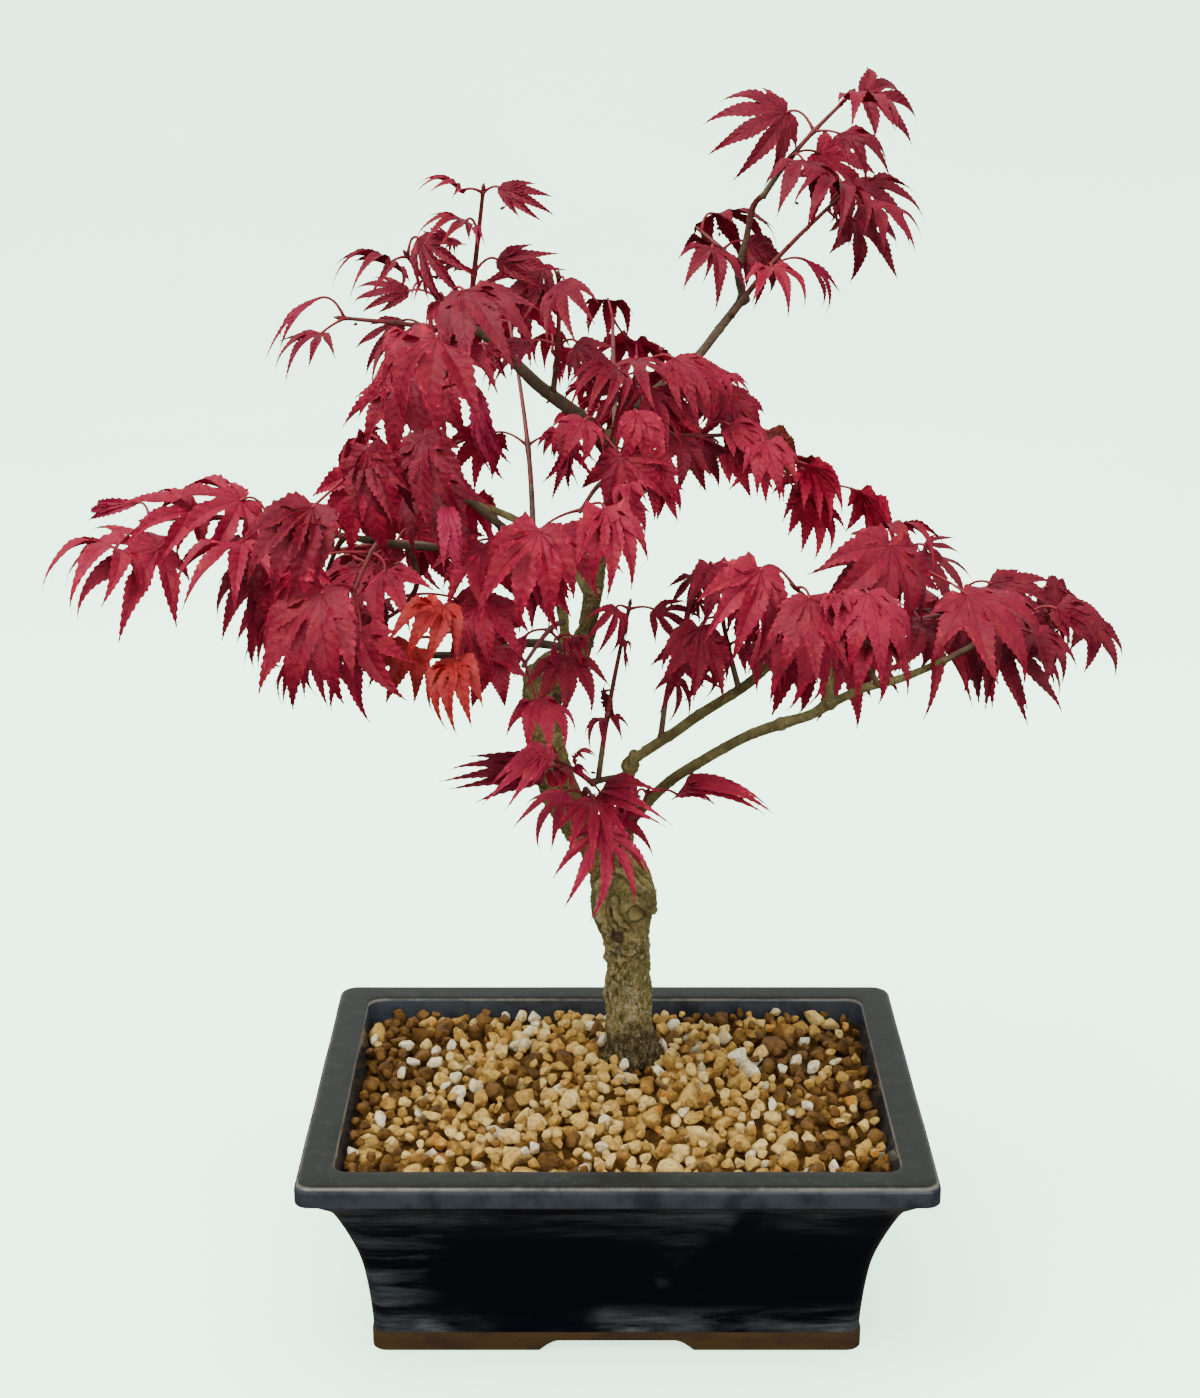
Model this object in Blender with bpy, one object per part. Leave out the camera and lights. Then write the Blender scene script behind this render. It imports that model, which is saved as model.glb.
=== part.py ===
"""A Japanese maple bonsai in a glazed rectangular pot.

Lengths in the tables are millimetres, measured from the middle of the pot's underside:
x to the right, y away from the front, z up. The model itself is in metres.
"""

import math
import random
from collections import namedtuple

import bmesh
import bpy
from mathutils import Matrix, Vector
from mathutils.bvhtree import BVHTree

MM = 0.001
GAP = 0.35  # clearance between neighbouring solids
WELD = 0.001  # points nearer than this are one
UP = Vector((0.0, 0.0, 1.0))
FRONT = Vector((0.0, -1.0, 0.0))

# The pot stands off the origin, so that the origin lies under the middle of the whole plant.
POT_CENTRE = Vector((-1.3, -23.0, 0.0))

# ---------------------------------------------------------------- pot and soil

POT_WIDTH = 200.0
POT_DEPTH = 146.0
POT_HEIGHT = 71.0
POT_CORNER = 5.0
CORNER_STEPS = 3
LIP_ROUNDING = 2.5
# Profiles, as (inset from the rim's outer edge, depth below the rim's top).
POT_OUTSIDE = (
    (0.0, 5.5), (1.6, 5.9), (5.7, 10.3), (9.4, 14.1), (11.1, 18.4), (15.8, 30.2),
    (19.5, 39.3), (19.5, 57.0), (21.0, 64.6), (20.6, 65.4), (20.6, 71.0),
)  # fmt: skip
RIM_WIDTH = 11.5
RIM_INNER_ROUNDING = 1.5
POT_INSIDE = ((12.0, 6.0), (16.5, 20.0), (25.5, 41.0), (27.0, 60.0))
FOOT_LIFT = 3.6  # the underside between the four feet
FOOT_ARCH = Vector((50.0, 32.0))  # width of the arches in the long and the short sides
ARCH_SHOULDER = 2.6
GLAZE = (0.012, 0.02, 0.035)
DRAIN_RADIUS = 7.0
DRAIN_OFFSET = 36.0
DRAIN_SIDES = 16

SOIL_EDGE_DEPTH = 6.2  # below the rim's top, at the wall
SOIL_RISE = 2.6  # from the wall to the trunk's foot
TRUNK_FOOT = Vector((5.4, 26.0))
PLATEAU_RADIUS = 13.0
SOIL_COLUMNS = 22
SOIL_ROWS = 15
LUMP = 2.4  # height of the coarse grains' lumps, from hollow to top
LEVEL_RADIUS = 24.0  # nearer to the trunk's foot than this, no lump stands above the plateau
GRIT = (0.32, 0.2, 0.08)

# ------------------------------------------------------------- trunk and boughs

Limb = namedtuple("Limb", "name colour sides route cut_by")

BARK = (0.16, 0.13, 0.07)
YOUNG_BARK = (0.12, 0.10, 0.04)
GREY_BARK = (0.17, 0.14, 0.10)
SOIL_TOP = POT_HEIGHT - SOIL_EDGE_DEPTH + SOIL_RISE
TRUNK_BASE = SOIL_TOP + GAP
BUTTRESS_HEIGHT = 13.0
BUTTRESS_SHARE = 0.16  # how far the foot swells, as a share of its radius
BUTTRESSES = ((1.0, 3, 0.5), (0.5, 5, 2.0))  # (size, how many round the foot, turn)
BUTTRESS_MEAN = 0.6
FLAT_CUT = 1.0  # the lowest ring lies within this of the ground and is set level

# Each route point is (x, y, z, radius).
LIMBS = (
    Limb("trunk", BARK, 10, (
        (5.4, 26.0, TRUNK_BASE, 9.9), (5.3, 26.0, 73.9, 8.6), (4.2, 26.0, 89.2, 8.1),
        (3.8, 25.5, 106.5, 7.6), (2.9, 25.0, 117.0, 9.2), (2.4, 24.5, 124.0, 10.6),
        (2.0, 24.0, 131.0, 10.5), (-0.4, 24.0, 139.0, 9.2), (-5.2, 23.0, 146.5, 7.4),
        (-12.1, 22.0, 154.5, 6.8), (-19.3, 20.0, 168.5, 6.4), (-23.2, 19.0, 182.8, 6.1),
        (-24.7, 18.0, 196.0, 6.3), (-22.4, 18.0, 205.5, 7.8), (-16.0, 18.5, 212.0, 6.0),
        (-10.3, 19.5, 220.0, 3.6), (-7.6, 20.0, 235.4, 3.1), (-5.7, 20.0, 248.7, 3.0),
        (-1.9, 21.0, 263.2, 2.9), (-0.9, 21.5, 275.0, 2.7), (-2.6, 22.0, 285.0, 2.5),
    ), ()),
    Limb("right_stem", BARK, 8, (
        (0.7, 24.0, 137.0, 3.4), (3.0, 22.5, 148.0, 3.0), (4.4, 20.5, 161.0, 2.5),
        (4.2, 18.3, 173.0, 2.2), (6.4, 16.4, 181.0, 2.5),
    ), ("trunk",)),
    Limb("right_mid_bough", YOUNG_BARK, 6, (
        (6.8, 16.2, 180.0, 1.9), (18.1, 14.0, 188.4, 1.85), (27.0, 12.0, 195.9, 1.8),
        (40.2, 8.0, 206.1, 1.7), (48.8, 5.0, 214.8, 1.5),
    ), ("right_stem",)),
    Limb("right_low_bough", YOUNG_BARK, 6, (
        (4.6, 21.0, 155.0, 1.9), (15.8, 10.0, 172.1, 1.85), (26.8, 2.0, 183.0, 1.8),
        (40.5, -8.0, 195.0, 1.75), (51.2, -14.0, 201.4, 1.9), (60.5, -18.0, 206.0, 1.7),
        (65.7, -20.0, 210.9, 1.9),
    ), ("right_stem", "trunk")),
    Limb("right_low_bough_end", YOUNG_BARK, 6, (
        (65.6, -20.0, 210.0, 1.5), (76.1, -22.0, 215.8, 1.45), (87.1, -24.0, 219.6, 1.35),
        (99.9, -25.0, 225.7, 1.2),
    ), ("right_low_bough",)),
    Limb("right_rising_bough", YOUNG_BARK, 6, (
        (65.5, -20.0, 210.0, 1.4), (67.3, -10.0, 219.1, 1.4), (73.6, 0.0, 221.3, 1.35),
        (81.7, 8.0, 223.5, 1.3), (83.4, 14.0, 230.4, 1.25), (88.7, 18.0, 238.6, 1.1),
    ), ("right_low_bough", "right_low_bough_end")),
    Limb("crown_left_bough", GREY_BARK, 6, (
        (-2.4, 22.0, 283.5, 2.2), (-11.4, 21.0, 291.6, 2.3), (-24.8, 20.0, 302.0, 2.1),
        (-35.0, 18.0, 312.7, 1.8), (-42.0, 17.0, 318.8, 1.6), (-49.3, 16.0, 321.4, 1.5),
    ), ("trunk",)),
    Limb("crown_right_bough", GREY_BARK, 6, (
        (-2.4, 22.0, 283.0, 1.8), (1.6, 23.5, 290.5, 1.75), (10.5, 28.0, 297.4, 1.65),
        (23.9, 34.0, 306.8, 1.55), (32.8, 37.0, 317.1, 1.5), (40.4, 40.0, 326.5, 1.5),
    ), ("trunk", "crown_left_bough")),
    Limb("crown_right_shoot", GREY_BARK, 6, (
        (40.0, 40.0, 325.8, 1.1), (38.4, 40.0, 334.4, 1.25), (40.6, 38.0, 344.7, 1.15),
        (42.5, 37.0, 355.0, 1.1), (45.8, 36.0, 359.1, 1.0),
    ), ("crown_right_bough",)),
    Limb("left_stem", YOUNG_BARK, 6, (
        (-17.0, 17.0, 211.0, 2.2), (-16.6, 13.0, 219.0, 2.0), (-17.2, 10.0, 230.9, 1.8),
        (-19.9, 4.0, 245.4, 1.9),
    ), ("trunk",)),
    Limb("left_rising_bough", YOUNG_BARK, 6, (
        (-19.9, 4.0, 244.4, 1.5), (-28.4, -2.0, 254.7, 1.45), (-36.2, -6.0, 263.3, 1.4),
        (-45.2, -8.0, 271.7, 1.3), (-52.3, -8.0, 280.4, 1.25), (-54.8, -8.0, 290.9, 1.1),
    ), ("left_stem",)),
    Limb("left_reaching_bough", YOUNG_BARK, 6, (
        (-28.2, -1.9, 254.2, 1.1), (-44.0, -8.0, 256.5, 1.25), (-64.0, -15.0, 259.0, 1.2),
        (-86.0, -20.0, 264.0, 1.1),
    ), ("left_rising_bough", "left_stem")),
    Limb("left_low_bough", YOUNG_BARK, 6, (
        (-16.9, 12.0, 218.5, 1.4), (-27.5, 0.0, 223.6, 1.5), (-36.4, -14.0, 225.6, 1.4),
        (-48.0, -26.0, 227.6, 1.3), (-56.5, -34.0, 230.1, 1.2),
    ), ("trunk", "left_stem")),
    Limb("back_left_bough", YOUNG_BARK, 6, (
        (-8.2, 21.0, 231.0, 1.6), (-16.0, 38.0, 241.0, 1.6), (-32.0, 56.0, 249.0, 1.4),
        (-52.0, 70.0, 254.0, 1.2),
    ), ("trunk",)),
    Limb("back_right_bough", YOUNG_BARK, 6, (
        (-4.6, 21.0, 252.0, 1.6), (4.0, 40.0, 260.0, 1.6), (20.0, 58.0, 266.0, 1.4),
        (40.0, 74.0, 270.0, 1.2),
    ), ("trunk",)),
    Limb("cut_stub", GREY_BARK, 6, (
        (4.0, 18.6, 172.0, 1.1), (-1.5, 15.0, 172.8, 1.15), (-7.8, 11.5, 172.6, 1.1),
    ), ("right_stem",)),
)  # fmt: skip
TRUNK_STEPS = 2  # rings to each stretch between two route points
BOUGH_STEPS = 1

# ---------------------------------------------------------------------- foliage

LEAF_RED = (0.38, 0.012, 0.035)

# A spray's stem leaves a limb at a share of its length (1 is the tip) and ends at tip. It
# has leaf pairs along its outer part, and side twigs that each end in a pair.
Spray = namedtuple("Spray", "name limb along tip pairs forks leaf seed")

SPRAYS = (
    Spray("far_left", "left_reaching_bough", 1.00, (-144.0, -11.0, 266.0), 3, 0, 25.0, 22),
    Spray("left_front", "left_reaching_bough", 0.80, (-76.0, -60.0, 257.0), 2, 0, 33.0, 42),
    Spray("left_outer", "left_reaching_bough", 0.95, (-91.0, -3.0, 246.0), 2, 1, 26.5, 18),
    Spray("left_upper", "left_reaching_bough", 0.50, (-98.0, 12.0, 249.0), 2, 0, 28.0, 8),
    Spray("left_behind", "left_reaching_bough", 0.65, (-100.0, 65.0, 205.0), 2, 0, 29.0, 94),
    Spray("left_lower", "left_low_bough", 1.00, (-46.0, -67.0, 251.0), 2, 0, 23.0, 89),
    Spray("left_inner", "left_rising_bough", 0.30, (-38.0, -46.0, 262.0), 2, 1, 23.0, 17),
    Spray("crown_outer", "crown_left_bough", 0.97, (-84.0, 7.0, 325.0), 2, 0, 21.5, 99),
    Spray("crown_outer_high", "crown_left_bough", 1.00, (-63.0, -2.0, 345.0), 2, 0, 21.5, 78),
    Spray("apex_left", "crown_left_bough", 0.93, (-40.0, -2.0, 364.0), 3, 0, 17.5, 86),
    Spray("crown_front", "left_rising_bough", 1.00, (-49.0, -37.0, 332.0), 2, 0, 31.0, 20),
    Spray("crown_low", "left_rising_bough", 0.72, (-72.0, -50.0, 294.0), 2, 1, 30.0, 45),
    Spray("crown_behind", "crown_left_bough", 0.70, (-79.0, 80.0, 269.0), 2, 0, 29.5, 8),
    Spray("crown_middle", "crown_left_bough", 0.35, (-18.0, 8.0, 337.0), 2, 0, 21.5, 90),
    Spray("centre_top", "crown_right_bough", 0.25, (7.0, 15.0, 309.0), 3, 0, 22.0, 97),
    Spray("centre_front", "trunk", 0.96, (-5.0, -16.0, 295.0), 2, 1, 21.5, 20),
    Spray("centre_heart", "trunk", 0.93, (-11.0, -48.0, 278.0), 1, 0, 32.5, 89),
    Spray("centre_low", "left_stem", 0.60, (-28.0, -40.0, 229.0), 2, 0, 22.5, 34),
    Spray("right_high", "crown_right_bough", 0.50, (25.0, 28.0, 303.0), 2, 0, 21.5, 41),
    Spray("right_middle", "crown_right_bough", 0.22, (40.0, 18.0, 287.0), 3, 0, 20.5, 35),
    Spray("apex_right", "crown_right_shoot", 1.00, (69.0, 33.0, 387.0), 3, 0, 21.0, 78),
    Spray("apex_right_low", "crown_right_bough", 0.90, (70.0, 25.0, 361.0), 2, 1, 21.0, 1),
    Spray("apex_right_inner", "crown_right_shoot", 0.30, (27.0, 50.0, 346.0), 2, 0, 20.5, 86),
    Spray("right_upper", "right_rising_bough", 1.00, (80.0, 4.0, 257.0), 2, 0, 23.0, 21),
    Spray("right_rise_out", "right_rising_bough", 0.80, (109.0, 1.0, 233.0), 2, 1, 27.5, 1),
    Spray("right_centre", "right_mid_bough", 1.00, (86.0, -21.0, 257.0), 2, 0, 34.0, 64),
    Spray("right_centre_high", "right_mid_bough", 0.75, (31.0, 1.0, 243.0), 3, 0, 24.0, 34),
    Spray("right_front", "right_low_bough_end", 0.45, (51.0, -51.0, 256.0), 1, 1, 28.0, 58),
    Spray("far_right", "right_low_bough_end", 1.00, (137.0, 8.0, 234.0), 3, 1, 22.0, 19),
    Spray("right_behind", "right_rising_bough", 0.50, (143.0, 88.0, 211.0), 2, 0, 28.5, 66),
    Spray("middle_behind", "right_mid_bough", 0.90, (71.0, 58.0, 220.0), 2, 0, 31.0, 27),
    Spray("inner_right", "right_mid_bough", 0.20, (27.0, 12.0, 242.0), 2, 0, 16.5, 8),
    Spray("inner_shoot", "cut_stub", 0.85, (4.0, 13.0, 232.0), 2, 0, 15.5, 99),
    Spray("sprout_left", "cut_stub", 1.00, (-19.0, -19.0, 191.0), 2, 0, 21.0, 88),
    Spray("sprout_front", "trunk", 0.44, (-7.0, -20.0, 178.0), 2, 0, 23.5, 53),
    Spray("sprout_right", "right_stem", 0.35, (10.0, 6.0, 171.0), 1, 0, 24.0, 23),
    Spray("back_left_outer", "back_left_bough", 1.00, (-76.0, 103.0, 237.0), 3, 0, 32.5, 20),
    Spray("back_left_high", "back_left_bough", 0.60, (-37.0, 103.0, 310.0), 2, 0, 33.0, 86),
    Spray("back_right_outer", "back_right_bough", 1.00, (66.0, 94.0, 254.0), 3, 0, 25.0, 24),
    Spray("back_middle", "back_right_bough", 0.50, (8.0, 110.0, 291.0), 2, 0, 30.0, 66),
    Spray("back_high", "crown_right_bough", 0.12, (-1.0, 100.0, 311.0), 2, 0, 23.0, 28),
)

TWIG_RADIUS = 1.05
TWIG_TIP_RADIUS = 0.6
STEM_PARTS = 3
STEM_RISE = 0.20  # how far a stem's control point lies above its middle, as a share of its length
LEAD = 0.3  # a stem first heads straight out from its limb, for this share of its length
LONGEST_LEAD = 6.0
FIRST_PAIR = 0.42  # the first pair of leaves on a stem, as a share of its length
LAST_PAIR = 0.985
LAST_FORK = 0.9
FORK_LENGTH = 0.38  # of a side twig, as a share of its stem's length
FORK_PARTS = 2
FORK_ONWARD = 0.7  # a side twig's heading: sideways, with this much on along the stem
FORK_UP = 0.12
FORK_RISE = 0.03
FORK_PAIR = 0.98
TWIST = 25.0  # degrees a pair of leaves may turn round its twig

TWIG_TRIES = 24
SWAY = 0.03  # a blocked twig bends aside, by this share of its length more at each try
LEAF_TRIES = 12
TEST_GROWTH = 1.05  # a leaf is tested for room this much larger
TEST_MARGIN = 0.45

PETIOLE_RADIUS = 0.5
PETIOLE_PARTS = 2
PETIOLE = 0.62  # a stalk's length, as a share of its leaf's
PETIOLE_SPREAD = (0.75, 1.2)
PETIOLE_BEND = 0.6  # of the stalk rises, and the rest turns down to the blade
SIDEWAYS = (0.7, 1.0)  # a stalk's heading is a mix of these: away from the twig,
ONWARD = (0.2, 0.7)  # on along the twig,
UPWARD = (0.0, 0.5)  # up,
LIGHTWARD = (0.0, 0.6)  # and to where the light comes from
BEND_LEVEL = 0.8  # the stalk's last stretch, along the ground
BEND_DOWN = 0.35  # and down
LEVEL_HEADING = 0.9  # a blade points along its stalk
LEVEL_LIGHT = 0.6  # and to the light
LEVEL_SPREAD = 0.4
HANG = (18.0, 62.0)  # degrees between a blade's middle lobe and straight down
NORMAL_LIGHT = 0.85  # a blade faces the light
NORMAL_UP = 0.55  # and up
NORMAL_SPREAD = 0.3
OUTWARD_LIGHT = 0.55  # near the front, the light comes from the front more than from outside
FRONT_LIMIT = 48.0
CROWN_AXIS = Vector((-4.0, 24.0))

LEAF_SPREAD = (0.78, 1.15)
LEAF_THICKNESS = 0.022
LEAF_DROOP = 0.20
LEAF_HEART = 0.08  # from the stalk's end to the thickest place, as a share of the length
SHOULDER = 0.55  # where a lobe is widest, as a share of its length
SHUT_SHARE = 0.12  # of the leaves are young and still shut
OPEN_LENGTH = 23.0  # shorter leaves have five lobes in place of seven

# The kinds of leaf: (angle from the middle lobe, length) of the lobes on one side, how many of
# them have shoulders, the lobes' half width and how deep the blade is between them.
Kind = namedtuple("Kind", "lobes shouldered half_width cut")
KINDS = {
    "open": Kind(((0.0, 1.0), (37.0, 0.93), (73.0, 0.72), (112.0, 0.38)), 2, 0.11, 0.30),
    "small": Kind(((0.0, 1.0), (40.0, 0.88), (82.0, 0.58)), 1, 0.12, 0.32),
    "shut": Kind(((0.0, 1.0), (15.0, 0.82)), 1, 0.06, 0.42),
}


def at(place):
    """A place from the tables as a point of the model, in metres."""
    return (Vector(place) + POT_CENTRE) * MM


# ------------------------------------------------------------------ mesh helpers


def material(name, colour, roughness, coat=0.0):
    mat = bpy.data.materials.new(name)
    mat.use_nodes = True
    shader = mat.node_tree.nodes["Principled BSDF"]
    shader.inputs["Base Color"].default_value = (*colour, 1.0)
    shader.inputs["Roughness"].default_value = roughness
    shader.inputs["Coat Weight"].default_value = coat
    return mat


def new_object(name, mesh, collection, mat=None):
    obj = bpy.data.objects.new(name, mesh)
    collection.objects.link(obj)
    if mat:
        mesh.materials.append(mat)
    return obj


def finished_mesh(name, bm):
    """The bmesh as a mesh with its faces pointing out."""
    bmesh.ops.recalc_face_normals(bm, faces=bm.faces)
    mesh = bpy.data.meshes.new(name)
    bm.to_mesh(mesh)
    bm.free()
    return mesh


def loft(rings):
    """A closed bmesh through rings of as many points each, capped at both ends."""
    bm = bmesh.new()
    verts = [[bm.verts.new(point) for point in ring] for ring in rings]
    count = len(rings[0])
    for lower, upper in zip(verts, verts[1:]):
        for i in range(count):
            j = (i + 1) % count
            bm.faces.new((lower[i], lower[j], upper[j], upper[i]))
    bm.faces.new(verts[0][::-1])
    bm.faces.new(verts[-1])
    return bm


def applied(obj):
    """The object's mesh as its modifiers leave it, with the modifiers gone."""
    graph = bpy.context.evaluated_depsgraph_get()
    mesh = bpy.data.meshes.new_from_object(obj.evaluated_get(graph))
    obj.modifiers.clear()
    obj.data = mesh
    return mesh


def cutter(obj):
    """The object, set up as one that only cuts others."""
    obj.hide_render = True
    obj.display_type = "WIRE"
    return obj


# --------------------------------------------------------------------------- pot


def rounded_rectangle(inset, z, corner=POT_CORNER):
    """Points round the pot's plan, this far in from the rim's outer edge, in millimetres."""
    half = Vector((POT_WIDTH / 2 - inset, POT_DEPTH / 2 - inset))
    points = []
    for quarter, (sx, sy) in enumerate(((1, 1), (-1, 1), (-1, -1), (1, -1))):
        centre = Vector((sx * (half.x - corner), sy * (half.y - corner)))
        for step in range(CORNER_STEPS + 1):
            turn = math.radians(90 * (quarter + step / CORNER_STEPS))
            edge = centre + corner * Vector((math.cos(turn), math.sin(turn)))
            points.append((edge.x, edge.y, z))
    return points


def rounding(inset, depth, radius, start, steps):
    """Profile points on a quarter arc about (inset, depth), from the angle start."""
    for step in range(steps + 1):
        turn = math.radians(start + 90 * step / steps)
        yield inset + radius * math.cos(turn), depth - radius * math.sin(turn)


def pot_profile():
    """(inset, depth) from the inner floor up over the rim and down to the foot."""
    yield from reversed(POT_INSIDE)
    yield from rounding(RIM_WIDTH - RIM_INNER_ROUNDING, RIM_INNER_ROUNDING, RIM_INNER_ROUNDING, 0, 2)
    yield from rounding(LIP_ROUNDING, LIP_ROUNDING, LIP_ROUNDING, 90, 3)
    yield from POT_OUTSIDE


def box_cutter(name, size, centre, collection, shoulder):
    """A box whose upper long edges are bevelled, to cut an arch."""
    bm = bmesh.new()
    bmesh.ops.create_cube(bm, size=1.0, matrix=Matrix.Diagonal((*size, 1.0)))
    long_axis = 0 if size[0] > size[1] else 1
    edges = []
    for edge in bm.edges:
        run = edge.verts[1].co - edge.verts[0].co
        if abs(run[long_axis]) > size[long_axis] / 2 and edge.verts[0].co.z > 0:
            edges.append(edge)
    bmesh.ops.bevel(bm, geom=edges, offset=shoulder, segments=2, affect="EDGES", profile=0.5)
    bmesh.ops.translate(bm, vec=centre, verts=bm.verts)
    return cutter(new_object(name, finished_mesh(name, bm), collection))


def make_pot(parts, cutters):
    """The pot, with arches cut across its foot and two drain holes."""
    rings = []
    for inset, depth in pot_profile():
        ring = rounded_rectangle(inset, POT_HEIGHT - depth)
        rings.append([at(point) for point in ring])
    glaze = material("glaze", GLAZE, 0.2, coat=1.0)
    pot = new_object("pot", finished_mesh("pot", loft(rings)), parts, glaze)
    reach = 2 * POT_WIDTH
    for name, size in (("arch_front", (FOOT_ARCH.x, reach)), ("arch_side", (reach, FOOT_ARCH.y))):
        box = Vector((*size, 2 * FOOT_LIFT)) * MM
        arch = box_cutter(name, box, POT_CENTRE * MM, cutters, ARCH_SHOULDER * MM)
        pot.modifiers.new(name, "BOOLEAN").object = arch
    for name, side in (("drain_left", -1), ("drain_right", 1)):
        bm = bmesh.new()
        place = Matrix.Translation(at((side * DRAIN_OFFSET, 0.0, 0.0)))
        bmesh.ops.create_cone(
            bm, cap_ends=True, segments=DRAIN_SIDES, radius1=DRAIN_RADIUS * MM,
            radius2=DRAIN_RADIUS * MM, depth=POT_HEIGHT * MM, matrix=place,
        )  # fmt: skip
        drill = cutter(new_object(name, finished_mesh(name, bm), cutters))
        pot.modifiers.new(name, "BOOLEAN").object = drill


def soil_outline(inset, z):
    """Points round the soil's plan, as many to a side as its surface has columns or rows."""
    half = Vector((POT_WIDTH / 2 - inset, POT_DEPTH / 2 - inset))
    trim = POT_CORNER * (1 - math.sqrt(0.5))
    points = []
    for across, along, count in (((1, 0), (0, 1), SOIL_ROWS), ((0, 1), (-1, 0), SOIL_COLUMNS)):
        for step in range(count):
            share = 2 * step / count - 1
            place = Vector(across) + Vector(along) * share
            point = Vector((place.x * half.x, place.y * half.y))
            if step == 0:
                point -= Vector((math.copysign(trim, place.x), math.copysign(trim, place.y)))
            points.append(point)
    points += [-point for point in points]
    return [(*point, z) for point in points]


def soil_height(column, row, place):
    """Height of the soil's surface, which rises to the trunk's foot and has lumps all over."""
    edge_z = POT_HEIGHT - SOIL_EDGE_DEPTH
    away = (place - TRUNK_FOOT).length
    if away < PLATEAU_RADIUS:
        return SOIL_TOP
    u, v = 2 * column / SOIL_COLUMNS - 1, 2 * row / SOIL_ROWS - 1
    rise = SOIL_RISE * math.cos(max(abs(u), abs(v)) * math.pi / 2)
    lump = LUMP / 2 if (column + row) % 2 else -LUMP / 2
    top = SOIL_TOP if away < LEVEL_RADIUS else math.inf
    return min(edge_z + rise + lump, top)


def make_soil(parts):
    """The root ball and soil, from the pot's floor to a low, lumpy mound at the trunk's foot."""
    bm = bmesh.new()
    edge_z = POT_HEIGHT - SOIL_EDGE_DEPTH
    rings = []
    for inset, depth in reversed(POT_INSIDE):
        z = min(POT_HEIGHT - depth + GAP, edge_z)
        rings.append([bm.verts.new(at(point)) for point in soil_outline(inset + GAP, z)])
    count = len(rings[0])
    for lower, upper in zip(rings, rings[1:]):
        for i in range(count):
            j = (i + 1) % count
            bm.faces.new((lower[i], lower[j], upper[j], upper[i]))
    bm.faces.new(rings[0][::-1])
    half = Vector((POT_WIDTH / 2, POT_DEPTH / 2)) - Vector((1, 1)) * (POT_INSIDE[0][0] + GAP)
    grid = {place: vert for place, vert in zip(border_places(), rings[-1])}
    for column in range(1, SOIL_COLUMNS):
        for row in range(1, SOIL_ROWS):
            x = (2 * column / SOIL_COLUMNS - 1) * half.x
            y = (2 * row / SOIL_ROWS - 1) * half.y
            z = soil_height(column, row, Vector((x, y)))
            grid[column, row] = bm.verts.new(at((x, y, z)))
    for column in range(SOIL_COLUMNS):
        for row in range(SOIL_ROWS):
            a, b = grid[column, row], grid[column + 1, row]
            c, d = grid[column + 1, row + 1], grid[column, row + 1]
            corners = ((a, b, c), (a, c, d)) if (column + row) % 2 else ((a, b, d), (b, c, d))
            for corner in corners:
                bm.faces.new(corner)
    new_object("soil", finished_mesh("soil", bm), parts, material("soil", GRIT, 0.9))


def border_places():
    """(column, row) of the points that soil_outline gives, in its order."""
    for row in range(SOIL_ROWS):
        yield SOIL_COLUMNS, row
    for column in range(SOIL_COLUMNS):
        yield SOIL_COLUMNS - column, SOIL_ROWS
    for row in range(SOIL_ROWS):
        yield 0, SOIL_ROWS - row
    for column in range(SOIL_COLUMNS):
        yield column, 0


# ------------------------------------------------------------------------- limbs


def smooth_route(points, steps):
    """A Catmull-Rom curve through rows of numbers."""
    rows = [points[0], *points, points[-1]]
    route = []
    for a, b, c, d in zip(rows, rows[1:], rows[2:], rows[3:]):
        for step in range(steps):
            t = step / steps
            row = []
            for p, q, r, s in zip(a, b, c, d):
                bend = 2 * p - 5 * q + 4 * r - s
                twist = 3 * q - p - 3 * r + s
                row.append(q + 0.5 * ((r - p) * t + bend * t**2 + twist * t**3))
            route.append(tuple(row))
    route.append(tuple(points[-1]))
    return route


def limb_route(limb):
    return smooth_route(limb.route, TRUNK_STEPS if limb.name == "trunk" else BOUGH_STEPS)


def tube_mesh(name, route, sides, extra=0.0):
    """A tapering tube with closed ends along (x, y, z, radius) rows in millimetres."""
    curve = bpy.data.curves.new(name, "CURVE")
    curve.dimensions = "3D"
    curve.bevel_depth = MM
    curve.bevel_resolution = (sides - 4) // 2
    curve.use_fill_caps = True
    spline = curve.splines.new("POLY")
    spline.points.add(len(route) - 1)
    for point, (x, y, z, radius) in zip(spline.points, route):
        point.co = (*at((x, y, z)), 1.0)
        point.radius = radius + extra
    holder = bpy.data.objects.new(name, curve)
    bpy.context.scene.collection.objects.link(holder)
    graph = bpy.context.evaluated_depsgraph_get()
    mesh = bpy.data.meshes.new_from_object(holder.evaluated_get(graph))
    bpy.data.objects.remove(holder)
    bm = bmesh.new()
    bm.from_mesh(mesh)
    bmesh.ops.remove_doubles(bm, verts=bm.verts, dist=WELD * MM)
    bpy.data.meshes.remove(mesh)
    return finished_mesh(name, bm)


def beyond(route, length):
    """The route with its last point moved on by length."""
    end = Vector(route[-1][:3])
    way = (end - Vector(route[-2][:3])).normalized()
    return [*route[:-1], (*(end + way * length), route[-1][3])]


def spread_foot(mesh, base, extra=0.0):
    """Swells the trunk's foot into low buttresses and cuts it flat at the ground."""
    for vert in mesh.vertices:
        height = vert.co.z / MM - base
        if height < BUTTRESS_HEIGHT:
            away = vert.co.xy - at((*TRUNK_FOOT, 0.0)).xy
            turn = math.atan2(away.y, away.x)
            swell = BUTTRESS_MEAN
            for size, count, start in BUTTRESSES:
                swell += size * math.cos(count * turn + start)
            away *= BUTTRESS_SHARE * (1 - max(height, 0.0) / BUTTRESS_HEIGHT) ** 2 * swell
            vert.co.x += away.x
            vert.co.y += away.y
        if height < FLAT_CUT:
            vert.co.z = (base - extra) * MM


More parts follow.
